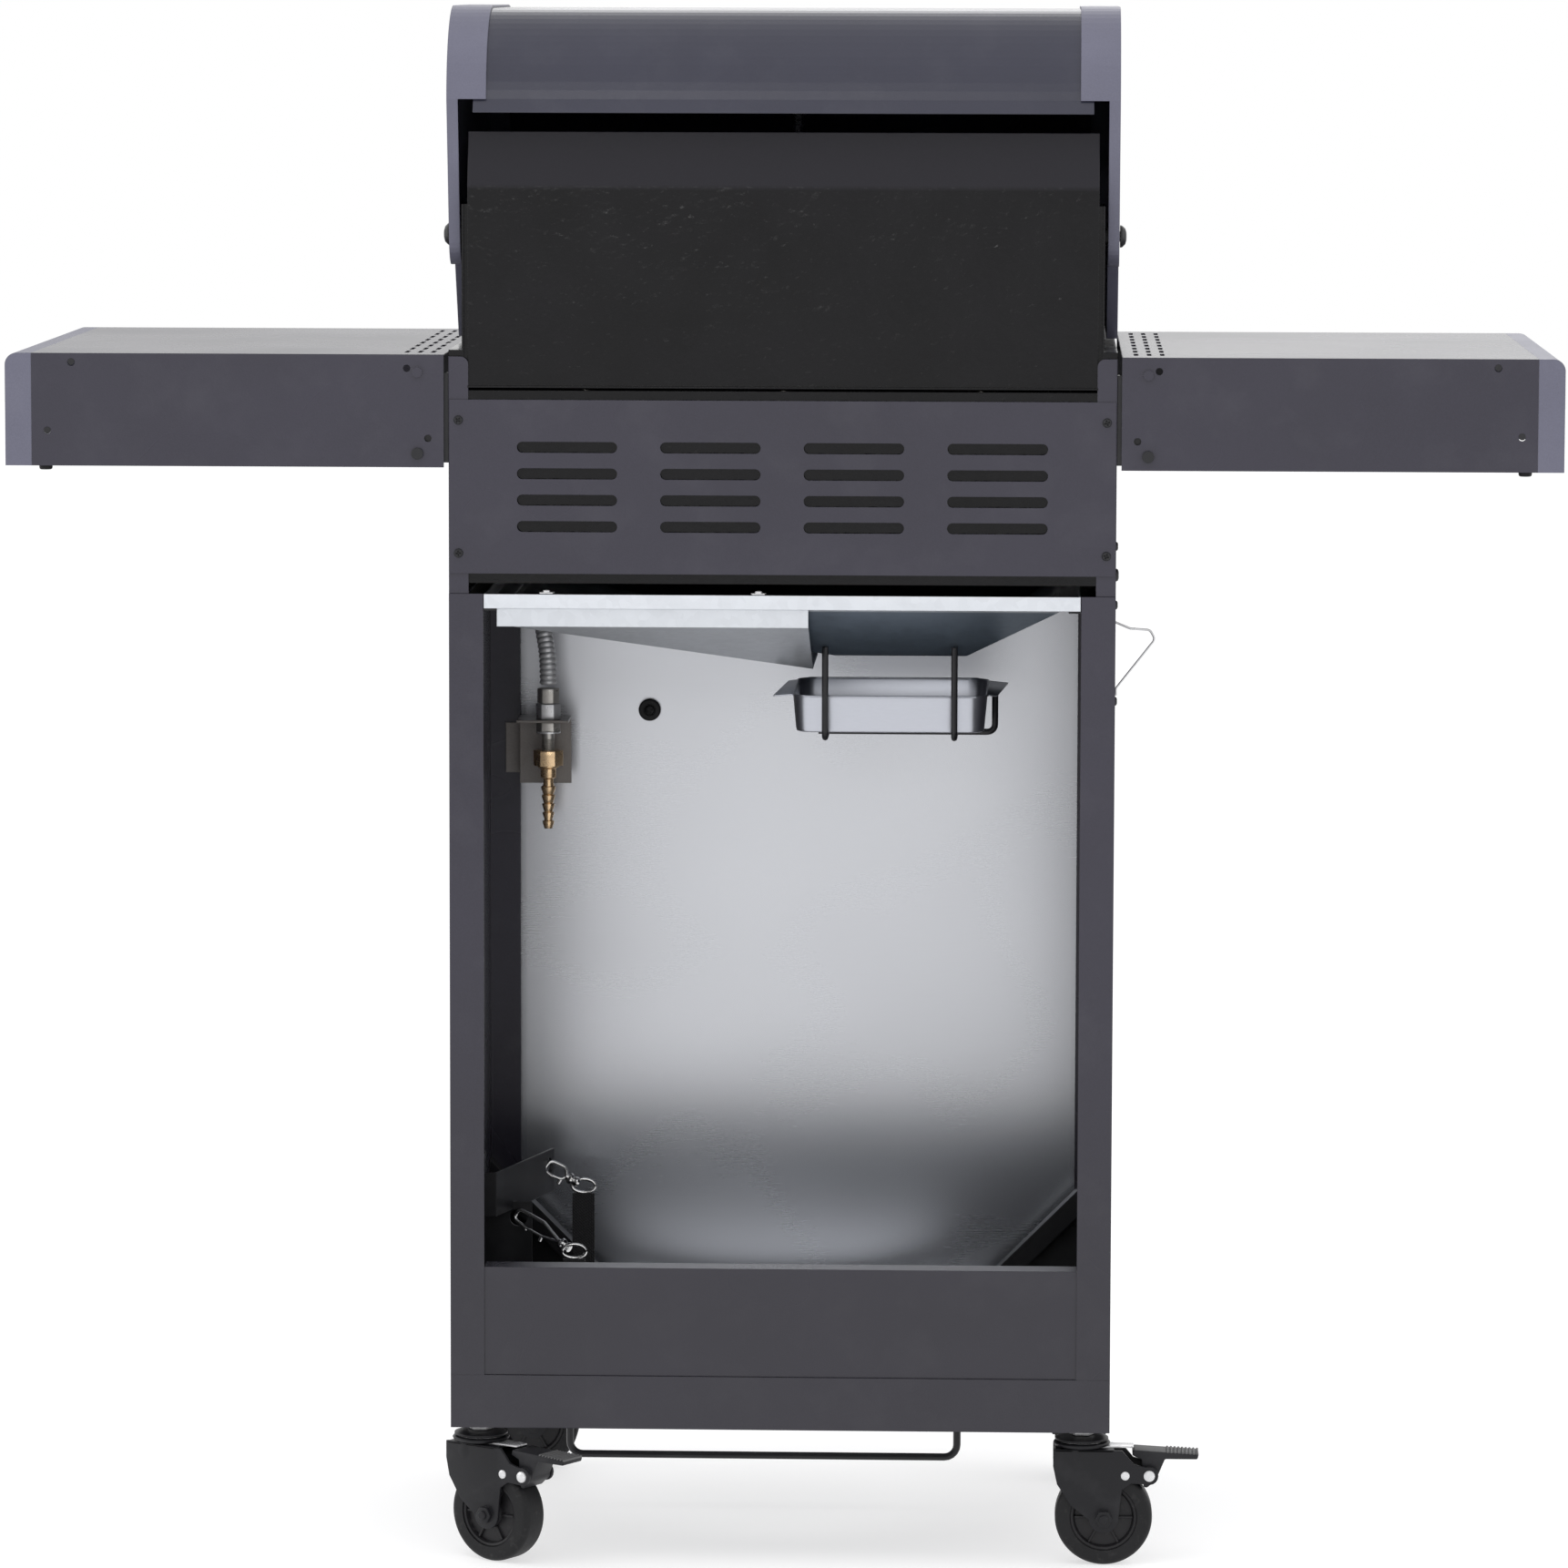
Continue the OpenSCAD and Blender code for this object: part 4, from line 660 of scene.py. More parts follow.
class GRILL_OT_casters(Operator):
    """Tyres, hubs, forks, bearing cups, axles and foot brakes of the four casters"""

    bl_idname = "grill.casters"
    bl_label = "Casters"

    def wheel(self, i, place, wide, radius):
        p = Piece(f"wheel_{i}", "tyre_rubber", "hub_plastic", "nut_steel")
        half = wide / 2
        hub = [(4.1, half), (9.5, half), (10.5, half - 1), (11, half - 3.5), (22, half - 4.2), (23.4, half - 1),
               (24.6, half - 0.4), (26, half - 1)]
        p.lathe(
            [(26, -half + 1.5), (26, -half), (radius - 5, -half), *arc(radius - 5, -half + 5, 5, -90, 0, 6),
             (radius, 0), *arc(radius - 5, half - 5, 5, 0, 90, 6), (26, half), (26, half - 1.5)],
            AXLE, ALONG_Y, 0, 72, place)
        p.lathe(
            [(r, -h) for r, h in hub] + [(r, h) for r, h in reversed(hub)] + [(4.1, -half)],
            AXLE, ALONG_Y, 1, 56, place)
        for k in range(6):
            around = place @ moved(*AXLE) @ turned(60 * k, "Y")
            for side in (-1, 1):
                low, high = sorted((side * (half - 4.4), side * (half - 1.6)))
                p.block((11, low, -0.9), (22.5, high, 0.9), 0.4, 1, around, 1)
        p.finish(f"wheel_{i}", (f"caster_wheel_{i}",), "tyre")

    def fork(self, i, place, brake):
        p = Piece(f"fork_{i}", "housing_black", "bright_zinc", "nut_steel")
        p.lathe([(5.1, 91), (15, 91), (21, 92.6), (22, 94.4), (21.4, 95.3), (18, 95.9), (5.1, 95.9), (5.1, 91)],
                steps=56, place=place)
        p.lathe([(5.1, 96.3), (19, 96.3), (20.6, 97), (20.4, 98.4), (14, 100), (5.1, 100), (5.1, 96.3)],
                steps=56, place=place)
        p.lathe([(16.2, 95.9), (17.2, 95.2), (18.4, 96.1), (17.2, 97), (16.2, 95.9)], finish=1, place=place)
        outline = [(22, 91), (22, 78), (19, 64), (8, 47), (-6, 36), *arc(-17, 37.5, 11.5, 0, -180, 12),
                   (-29.5, 48), (-31, 60)]
        if brake:
            outline += [(-38, 65), *arc(-52, 71, 7, -70, -290, 10), (-40, 80), (-31, 90.5)]
        else:
            outline += [(-30, 80), (-26, 91)]
        for y in (13.2, -15.7):
            p.plate(outline, 2.5, 0.7, 0, place @ turned(90, "X") @ moved(0, 0, -(y + 2.5)))
        p.block((-25, -15.7, 88.6), (21, 15.7, 91.2), 0.9, 0, place)
        p.lathe([(15.2, 78), (16.2, 84), (15.8, 91), (14.4, 91), (14.8, 84), (13.9, 78), (15.2, 78)],
                (5, 0, 0), place=place)
        for side in (-1, 1):
            out = (0, side, 0)
            p.hex_nut((-17, side * 15.7, 37.5), out, 12, 4, place=place)
            heads = [([(3.6, 0), (3.6, 1.6), (2.8, 2.3), (0, 2.4)], (-17, side * 19.7, 37.5), 0),
                     ([(3.4, 0), (3.3, 0.9), (2.2, 1.5), (0, 1.7)], (-33.5, side * 15.7, 71), 1),
                     ([(4.4, 0), (4.2, 1.1), (2.7, 2.0), (0, 2.2)], (-52, side * 15.7, 71), 1)]
            for profile, at, finish in heads if brake else heads[:2]:
                p.lathe([(0, 0)] + profile, at, out, finish, 20, place)
        p.lathe(rod(4, -15.5, 15.5), AXLE, ALONG_Y, 2, 24, place)
        if brake:
            p.lathe(rod(2.5, -15.5, 15.5), BRAKE_PIN, ALONG_Y, 2, 20, place)
            p.plate([(-8, -9), (-8, 9), (-40, 6.5), (-40, -6.5)], 1.4, 0.3, 1, place @ moved(0, 0, 91.1))
        p.finish(f"fork_{i}", (f"caster_fork_{i}",), "black_steel")

    def pedal(self, i, place, ribs):
        p = Piece(f"foot_plate_{i}", "pedal_plastic", "housing_black")
        pivot = place @ moved(*BRAKE_PIN)
        p.plate([(-6, -2), (-12, 12.5), (-37, 12.5), (-38, 16.4), (12, 19.4), (13.4, 15.4), (6, 12), (5.5, -1),
                 (4.2, -9.6), (1.5, -10), (-5, -4)], 23.8, 1.0, 1, pivot @ turned(90, "X") @ moved(0, 0, -11.9))
        p.lathe([(2.6, -12.5), (6, -12.5), (6.4, -12), (6.4, 12), (6, 12.5), (2.6, 12.5), (2.6, -12.5)],
                BRAKE_PIN, ALONG_Y, 1, 32, place)
        for k in range(ribs):
            x = -14 - 23.0 * k / (ribs - 1)
            z = 19.4 + (x - 12) * 3 / 50 - 1.1
            p.block((x - 0.8, -11.6, z), (x + 0.8, 11.6, z + 1.9), 0.4, 0, pivot, 1)
        p.finish(f"pedal_{i}", (f"brake_pedal_{i}",), "black_steel")

    def execute(self, context):
        s = context.scene.grill_casters
        for i, (x, y, turn, brake) in enumerate(CASTERS, 1):
            place = moved(x, y, 0) @ turned(turn)
            self.wheel(i, place, s.tyre_w / MM, s.tyre_d / 2 / MM)
            self.fork(i, place, brake)
            if brake:
                self.pedal(i, place, s.treads)
        stems = Piece("stem_bolts", "bright_zinc", "nut_steel")
        for x, y, _, _ in CASTERS:
            stems.lathe([(0, 91), (4.95, 91), (4.95, 155), (4.2, 156), (0, 156)], (x, y, 0), steps=28)
            stems.hex_nut((x, y, 100.6), UP, 17, 6.2)
            stems.lathe(sleeve(5, 10, 148, 149.2), (x, y, 0), finish=1, steps=28)
            stems.hex_nut((x, y, 149.2), UP, 14, 5, finish=1)
            stems.lathe(sleeve(5, 8, 107, 146.4), (x, y, 0), finish=1, steps=28)
        stems.finish("cart", ("caster_stems",), "zinc")
        return {"FINISHED"}


class GRILL_OT_gas_inlet(Operator):
    """Corrugated gas hose with its crimped ends, union nuts and the ribbed brass hose barb"""

    bl_idname = "grill.gas_inlet"
    bl_label = "Gas inlet"

    def execute(self, context):
        s = context.scene.grill_hose
        path = flowing(HOSE, 6)
        total = sum((b - a).length for a, b in zip(path, path[1:]))
        ribs = int(total / (s.rib_pitch / MM))
        hose = Piece("gas_hose_tube", "hose_steel")
        big = s.hose_d / 2 / MM
        marks, here = [], 0.0
        for a, b in zip(path, path[1:]):
            marks.append((here, a, b))
            here += (b - a).length
        rings = []
        for k in range(ribs * 4 + 1):
            at = total * k / (ribs * 4)
            start, a, b = max((m for m in marks if m[0] <= at + 1e-6), key=lambda m: m[0])
            rings.append((a + (b - a).normalized() * (at - start), big - (1.2, 0.3, 0.0, 0.3)[k % 4]))
        part = bmesh.new()
        ring = bmesh.ops.create_circle(part, segments=20, radius=rings[0][1] * MM)["verts"]
        start_turn = aim(rings[1][0] - rings[0][0]).to_3x3()
        bmesh.ops.rotate(part, cent=(0, 0, 0), matrix=start_turn, verts=ring)
        bmesh.ops.translate(part, vec=rings[0][0] * MM, verts=ring)
        edges, centre, r = list(part.edges), rings[0][0], rings[0][1]
        ahead = (rings[1][0] - rings[0][0]).normalized()
        for k in range(1, len(rings)):
            grown = bmesh.ops.extrude_edge_only(part, edges=edges)["geom"]
            fresh = [v for v in grown if isinstance(v, bmesh.types.BMVert)]
            edges = [e for e in grown if isinstance(e, bmesh.types.BMEdge) and all(v in fresh for v in e.verts)]
            to, wide = rings[k]
            nxt = (rings[min(k + 1, len(rings) - 1)][0] - rings[k - 1][0]).normalized()
            move = Matrix.Translation(to * MM) @ ahead.rotation_difference(nxt).to_matrix().to_4x4()
            move = move @ Matrix.Scale(wide / r, 4) @ Matrix.Translation(-centre * MM)
            bmesh.ops.transform(part, matrix=move, verts=fresh)
            centre, r, ahead = to, wide, nxt
        hose.keep(part, 0)
        tube = hose.finish("cart", ("gas_hose",), "zinc")
        fittings = Piece("hose_fittings", "bright_zinc", "nut_steel", "brass")
        fittings.hex_nut((*INLET, 632), UP, 15.5, 12, finish=1)
        fittings.hex_nut((*INLET, 619), UP, 17.5, 12.5)
        fittings.lathe([(0, 0), (7.6, 0), (7.2, 6), (6.2, 8), (0, 8)], (*OUTLET, 829), steps=32)
        fittings.hex_nut((*OUTLET, 836), UP, 17, 14)
        threads = [(0, 1), (5, 1), (5, -14)]
        for k in range(9):
            threads += [(4.6, -14 - 1.4 * k), (5.2, -14.7 - 1.4 * k)]
        fittings.lathe(threads + [(5, -27), (0, -27)], (*INLET, 617), finish=1, steps=28)
        fittings.hex_nut((*INLET, 609), UP, 17, 8, finish=1)
        fittings.lathe(sleeve(5.1, 10, 0, -1.4), (*INLET, 609), steps=32)
        fittings.hex_nut((*INLET, 581), UP, 21, 12.5, finish=2)
        barb = s.barb_d / 2 / MM
        profile = [(0, -35), (8.5, -35), (8.5, -37), (6.2, -38.5), (6.2, -45.5), (3.9, -47)]
        for k in range(5):
            z = -53 - 7 * k
            wide = barb + (0.9, 0.4, 0.0, -0.3, -0.3)[k]
            profile += [(wide - 1.4, z + 0.5), (wide, z), (wide, z - 1.2), (wide - 1.4, z - 5.6)]
        profile += [(3.6, -87), (2.4, -87), (2.4, -80), (0, -80)]
        fittings.lathe(profile, (*INLET, 617), finish=2, steps=36)
        fittings.finish("cart", ("hose_barb",), "brass")
        return {"FINISHED"}


class GRILL_OT_bottle_strap(Operator):
    """Woven strap for the gas bottle with its sewn loops, rings and two snap hooks"""

    bl_idname = "grill.bottle_strap"
    bl_label = "Bottle strap"

    def execute(self, context):
        turns = [(-119, 234), (-119, STRAP_Z), (154, STRAP_Z), (154, STRAP_Z + 11), (-102, STRAP_Z + 11),
                 (-102, STRAP_Z + 22), (6, STRAP_Z + 22), (6, 202)]
        route = bend([(STRAP_X, y, z) for y, z in turns], 5, 6)
        fine = []
        for a, b in zip(route, route[1:]):
            steps = max(1, int((b - a).length / 8))
            fine += [a + (b - a) * k / steps for k in range(steps)]
        fine.append(route[-1])
        strap = Piece("bottle_strap_web", "strap_weave")
        across = [(9, -0.7), (9, 0.7), (8.6, 1), (-8.6, 1), (-9, 0.7), (-9, -0.7), (-8.6, -1), (8.6, -1)]
        # The section's first offset runs along the strap's width, which lies in X
        strap.drawn(fine, across, uv=True)
        web = strap.finish("cart", ("bottle_strap",), "webbing")
        self.hooks()
        return {"FINISHED"}

    def hooks(self):
        p = Piece("snap_hooks", "chrome")
        for end, eye in (((STRAP_X, -119, 240), (199, -112, 256)), ((STRAP_X, 6, 208), (218, -30, 230))):
            end, eye = Vector(end), Vector(eye)
            # Ring in the strap's loop
            turns = [2 * math.pi * k / 24 for k in range(24)]
            p.wire([end + Vector((9.5 * math.cos(t), 0, 5.5 * math.sin(t))) for t in turns], 2.8, closed=True)
            way = (eye - end).normalized()
            wide = way.cross(Vector(ALONG_Y)).normalized()
            start = end + way * 6
            far = (eye - start).length
            # Swivel, body and bent hook with its gate
            p.lathe([(0, -2), (3.4, -1), (4.2, 1.2), (3.4, 3.4), (2.2, 4.4), (4.4, 5.6), (4.6, 7.5), (2.6, 9),
                     (2.3, 11), (0, 11)], steps=24, place=Matrix.Translation(start * MM) @ aim(way))
            p.wire(bend([start + way * 10, start + way * (far * 0.55) + wide * 6.5,
                         start + way * (far + 2) + wide * 5.5, start + way * (far + 3.5) - wide * 4,
                         start + way * (far * 0.78) - wide * 5.5], 5, 6), 3.0)
            catch = start + way * (far * 0.5) - wide * 4.2
            p.wire(bend([start + way * 10, catch, start + way * (far * 0.8) - wide * 5], 4), 2.2)
            p.lathe([(0, 0), (1.6, 0), (1.6, 4), (0, 4.6)], catch, -wide, 0, 16)
        p.finish("cart", ("strap_hooks",), "zinc")


class GRILL_OT_drip_cup(Operator):
    """Pressed aluminium drip cup with a rolled rim, wings and drawn corners"""

    bl_idname = "grill.drip_cup"
    bl_label = "Drip cup"

    def outline(self, hx, hy, r):
        pts = []
        for sx, sy, a in ((1, 1, 0), (-1, 1, 90), (-1, -1, 180), (1, -1, 270)):
            pts += arc(CUP_X + sx * (hx - r), CUP_Y + sy * (hy - r), r, a, a + 90, 6)
        return pts

    def execute(self, context):
        p = Piece("drip_cup_pan", "cup_aluminium")
        rows = [(58, 57, 8, 635.4), (66, 65, 10, 634.4), (71, 70, 11, 633.9), (72.6, 71.6, 12.5, 634.6),
                (73.2, 72.2, 13, 637), (74.4, 73.4, 15, 650), (75.4, 74.4, 16, 661), (76, 75, 16, 662.6),
                (75.9, 74.9, 16, 663), (74.9, 73.9, 16, 662.8), (74.2, 73.4, 16, 661), (73.2, 72.2, 15, 649),
                (72, 71, 13, 638), (70, 69, 11, 635.6), (66, 65, 10, 635.5), (58, 57, 8, 636.4)]
        part = bmesh.new()
        edges = []
        for hx, hy, r, z in rows:
            ring = [part.verts.new((x * MM, y * MM, z * MM)) for x, y in self.outline(hx, hy, r)]
            loop = [part.edges.new((ring[i], ring[(i + 1) % len(ring)])) for i in range(len(ring))]
            if edges:
                bmesh.ops.bridge_loops(part, edges=edges + loop)
            else:
                part.faces.new(ring)
            edges = loop
        part.faces.new(ring)
        p.keep(part, 0)
        for side in (-1, 1):
            inner, outer = CUP_Y + side * 73.4, CUP_Y + side * 77.4
            p.plate([(CUP_X - 60, inner), (CUP_X + 60, inner), (CUP_X + 68, outer), (CUP_X - 68, outer)],
                    1.1, 0.3, 0, moved(0, 0, 661.9))
            wing = [(0, CUP_Y - 59), (0, CUP_Y + 59), (side * 12 + 4, CUP_Y + 56), (side * 12 - 4, CUP_Y - 56)]
            p.plate(wing, 1.1, 0.3, 0, moved(CUP_X + side * 75, 0, 661.6) @ turned(side * 5, "Y"))
        p.finish("cup", ("drip_cup",), "aluminium")
        return {"FINISHED"}


class GRILL_OT_tray_details(Operator):
    """Spring clips on the grease tray's rim and its pressed drain collar"""

    bl_idname = "grill.tray_details"
    bl_label = "Tray details"

    def execute(self, context):
        p = Piece("tray_clips", "bright_zinc", "galvanised")
        for x in CLIP_X:
            p.plate([(x - 6, 208), (x + 6, 208), (x + 5, 215), (x - 5, 215)], 1.0, 0.3, 0, moved(0, 0, 750.2))
            p.lathe([(0, 0), (3, 0), (2.6, 1.6), (0, 2.2)], (x, 211.5, 751), steps=20)
        p.lathe([(12.2, 697), (12.2, 690.8), (12.8, 690.2), (13.6, 690.8), (13.6, 694), (16, 692), (17, 692.2),
                 (14, 696.6), (12.2, 697)], DRAIN, finish=1)
        p.finish("tray", (), "zinc")
        return {"FINISHED"}


class GRILL_OT_screws(Operator):
    """Cross-head screws, lock screws and rubber feet on the panels and shelves"""

    bl_idname = "grill.screws"
    bl_label = "Screws"

    def execute(self, context):
        p = Piece("panel_screws", "black_coat")
        rear = ((-1, 882, 18), (1, 882, 50), (-1, 781, 70), (1, 781, 5))
        places = [((s * 245.5, 216, z), ALONG_Y, t) for s, z, t in rear]
        heights = (784, 739, 665)
        places += [((s * 253, 156, z), (s, 0, 0), 30 * k) for s in (-1, 1) for k, z in enumerate(heights)]
        put_screws(p, places)
        put_screws(p, [((s * 253, 156, 762), (s, 0, 0), 12) for s in (-1, 1)], 10, 2.8)
        p.finish("cart", ("body_screws",), "black_steel")
        for side, body in ((1, "left_shelf"), (-1, "right_shelf")):
            name = body.replace("_shelf", "")
            q = Piece(f"shelf_{name}_fittings", "black_coat", "tyre_rubber")
            spots = [((side * 276.5, 217.2, 918), ALONG_Y, 35), ((side * 276.5, -188.2, 918), TO_FRONT, 10)]
            put_screws(q, spots, 7.6, 1.7)
            for x, z in ((539.5, 925), (558, 873)):
                q.lathe([(0, 0), (2.6, 0), (2.5, -1.2), (0, -1.4)], (side * x, 217.1, z), ALONG_Y, 0, 18)
            for y in (196, -167):
                q.lathe([(0, 846.2), (4.8, 846.2), (5.2, 844), (4.9, 842.4), (4, 841.8), (0, 841.6)],
                        (side * 562, y, 0), finish=1, steps=24)
            q.finish(body, (), "black_steel")
        return {"FINISHED"}


class GRILL_OT_lid_fittings(Operator):
    """Lid handle with end caps and posts, thermometer with dial and glass, and the pivot bolts"""

    bl_idname = "grill.lid_fittings"
    bl_label = "Lid fittings"

    def execute(self, context):
        h = Piece("lid_handle_bar", "handle_steel", "knob_plastic")
        h.lathe([(0, -204), (11.4, -204), (11.6, -203), (11.6, 203), (11.4, 204), (0, 204)],
                LID_BAR, ALONG_X, 0, 48)
        for s in (-1, 1):
            post = (s * LID_POST_X, LID_POST_Y, LID_BAR[2])
            h.lathe([(0, 203), (12, 203), (12, 212), (11, 214.4), (7, 215), (0, 215)], LID_BAR, (s, 0, 0), 1)
            h.lathe([(0, 2), (12, 2), (12, 4.5), (9.4, 7), (8, 12), (7.6, 26), (8, 36), (0, 36)],
                    post, TO_FRONT, 1, 36)
            h.lathe([(0, -8), (5.5, -8), (5.5, -3.4), (3, -3.2), (3, 3), (0, 3)], post, TO_FRONT, 1, 24)
        h.finish("lid", ("lid_handle",), "stainless")
        t = Piece("thermometer_dial", "handle_steel", "dial_white", "print_black", "pointer_red", "dial_glass")
        tilt = moved(0, -19, 1014) @ turned(55, "X") @ moved(0, 0, 180)
        t.lathe([(0, -1.8), (10, -1.8), (10, 2), (29, 2), (31, 3.4), (31, 8.6), (29.6, 10.6), (27.4, 11),
                 (26.4, 9.6), (26.2, 6.2), (0, 6)], steps=64, place=tilt)
        t.lathe([(0, 6.1), (26, 6.1), (26, 6.6), (0, 6.7)], finish=1, steps=48, place=tilt)
        for k in range(31):
            wide, inner = (0.6, 16.0) if k % 5 == 0 else (0.35, 18.5)
            t.block((-wide, inner, 6.6), (wide, 22, 6.95), 0.05, 2, tilt @ turned(-135 + 9 * k), 1)
        t.plate([(-1.3, -6), (1.3, -6), (0.35, 17), (-0.35, 17)], 0.5, 0.1, 3,
                tilt @ turned(128) @ moved(0, 0, 7.3))
        t.lathe([(0, 6.8), (2.6, 6.8), (2.6, 8), (1.8, 8.5), (0, 8.6)], steps=24, place=tilt)
        t.lathe([(0, 8.7), (26.3, 8.7), (26.3, 9.5), (18, 10.2), (0, 10.6)], finish=4, steps=48, place=tilt)
        t.lathe([(0, -60), (3, -59.6), (4, -58), (4, -1), (0, -1)], steps=24, place=tilt)
        t.hex_nut((0, 0, -9), UP, 17, 4, place=tilt)
        t.finish("lid", ("thermometer",), "stainless")
        b = Piece("lid_pivot_bolts", "black_coat", "nut_steel")
        for s in (-1, 1):
            at, out = LID_PIVOT, (s, 0, 0)
            b.lathe([(0, 254.6), (8.5, 254.6), (8.3, 256.2), (6, 258.6), (3, 259.5), (0, 259.6)],
                    at, out, 0, 32)
            b.lathe(rod(4, 235.5, 255), at, out, 1, 28)
            b.lathe(sleeve(4, 7, 243, 251.2), at, out, 0, 28)
            b.hex_nut((s * 235.6, *LID_PIVOT[1:]), out, 13, 5.8, finish=1)
        b.finish("cart", ("lid_pivots",), "zinc")
        return {"FINISHED"}


class GRILL_OT_controls(Operator):
    """Three burner knobs with grips and pointers, their stems and stepped steel bezels"""

    bl_idname = "grill.controls"
    bl_label = "Controls"

    def execute(self, context):
        bezels = Piece("knob_bezel_rings", "handle_steel", "print_black")
        for i, x in enumerate(KNOB_X, 1):
            k = Piece(f"knob_{i}_grip", "knob_plastic", "dial_white", "handle_steel")
            at, out = (x, KNOB_Y, KNOB_Z), TO_FRONT
            k.lathe([(3.55, 0), (22.4, 0), (23, 0.8), (23, 4.4), (22.2, 5.2), (21, 5.4), (19.8, 12), (19.3, 20),
                     (18.2, 22.4), (14, 23.4), (0, 23.6), (0, 16), (3.55, 16), (3.55, 0)], at, out, 0, 72)
            k.lathe([(19.9, 6.2), (20.9, 6.2), (20.9, 8.4), (19.7, 8.4), (19.9, 6.2)], at, out, 2, 72)
            k.block((x - 4, -246, KNOB_Z - 21.4), (x + 4, -226, KNOB_Z + 21.4), 1.4, segments=3)
            k.block((x - 0.9, -246.35, KNOB_Z + 8), (x + 0.9, -245.6, KNOB_Z + 20.4), 0.2, 1, segments=1)
            k.finish(f"turning_knob_{i}", (f"knob_{i}",), "knob_plastic")
            bezels.lathe([(9, 0), (30.6, 0), (31, 0.6), (30.6, 1.6), (28, 2.3), (26.6, 2.5), (9, 2.5), (9, 0)],
                         (x, BEZEL_Y, KNOB_Z), out, 0, 72)
            for mark in range(19):
                around = moved(x, BEZEL_Y - 2.5, KNOB_Z) @ turned(15 * mark - 45, "Y")
                bezels.block((25.2, -0.12, -0.3), (27.4, 0.1, 0.3), 0.03, 1, around, 1)
            stem = Piece(f"valve_stem_{i}_rod", "bright_zinc")
            stem.lathe([(0, -32), (3.5, -32), (3.5, 12.8), (2.9, 13.8), (0, 14)], at, out, 0, 28)
            stem.finish(f"stem_{i}", (f"valve_stem_{i}",), "zinc")
        bezels.finish("cart", ("knob_bezels",), "stainless")
        return {"FINISHED"}


class GRILL_OT_door_handle(Operator):
    """Door handle with its posts, and the rubber-backed screws on the door's inner face"""

    bl_idname = "grill.door_handle"
    bl_label = "Door handle"

    def execute(self, context):
        p = Piece("door_handle_bar", "handle_steel", "tyre_rubber")
        p.lathe([(0, -150), (6.2, -150), (7, -149), (7, 149), (6.2, 150), (0, 150)], DOOR_BAR, ALONG_X)
        for s in (-1, 1):
            post = (s * DOOR_POST_X, DOOR_FACE_Y, DOOR_BAR[2])
            p.lathe([(0, 0), (8, 0), (8, 1.6), (5.6, 3.4), (5.2, 24), (0, 24)], post, TO_FRONT, 0, 32)
            p.lathe([(0, 0), (2.9, 0), (2.9, -3), (9, -3), (9, -6.2), (8, -7.4), (5, -7.6), (4.6, -6.4),
                     (0, -6.4)], post, TO_FRONT, 1)
        inner = [((s * DOOR_POST_X, -203.8, DOOR_BAR[2]), ALONG_Y, 20) for s in (-1, 1)]
        put_screws(p, inner, 8, 2.4, 1)
        p.finish("door", ("door_handle",), "stainless")
        return {"FINISHED"}


class GRILL_OT_sheet_metal(Operator):
    """Paint, enamel, zinc and steel on every sheet part that keeps its own shape"""

    bl_idname = "grill.sheet_metal"
    bl_label = "Sheet metal finishes"

    def execute(self, context):
        given = {
            "body_paint": "base_pan side_panels back_rail front_rail side_frames vent_panel control_panel "
            "shelf_left shelf_right",
            "lid_paint": "lid_skin",
            "trim_paint": "lid_ends shelf_cap_left shelf_cap_right",
            "enamel": "firebox back_wall",
            "black_coat": "corner_gussets bottle_cradle shelf_brackets tray_rails strap_bracket door_hinges "
            "cup_hanger",
            "galvanised": "grease_tray",
            "shield_sheet": "heat_shield",
            "door_steel": "door_panel",
            "burner_steel": "burners flame_tamers",
            "handle_steel": "warming_rack",
            "nut_steel": "gas_manifold",
            "bright_zinc": "match_holder",
            "brown_primer": "inlet_bracket",
            "cast_iron": "cooking_grates",
        }
        for finish, names in given.items():
            for name in names.split():
                slots = NODES[name].data.materials
                for k in range(max(1, len(slots))):
                    if k < len(slots):
                        slots[k] = FINISHES[finish]
                    else:
                        slots.append(FINISHES[finish])
        covered = " ".join(given.values()).split()
        bare = [n for n, o in NODES.items() if not o.hide_render and n not in covered]
        if bare:
            raise RuntimeError(f"no finish for {bare}")
        return {"FINISHED"}


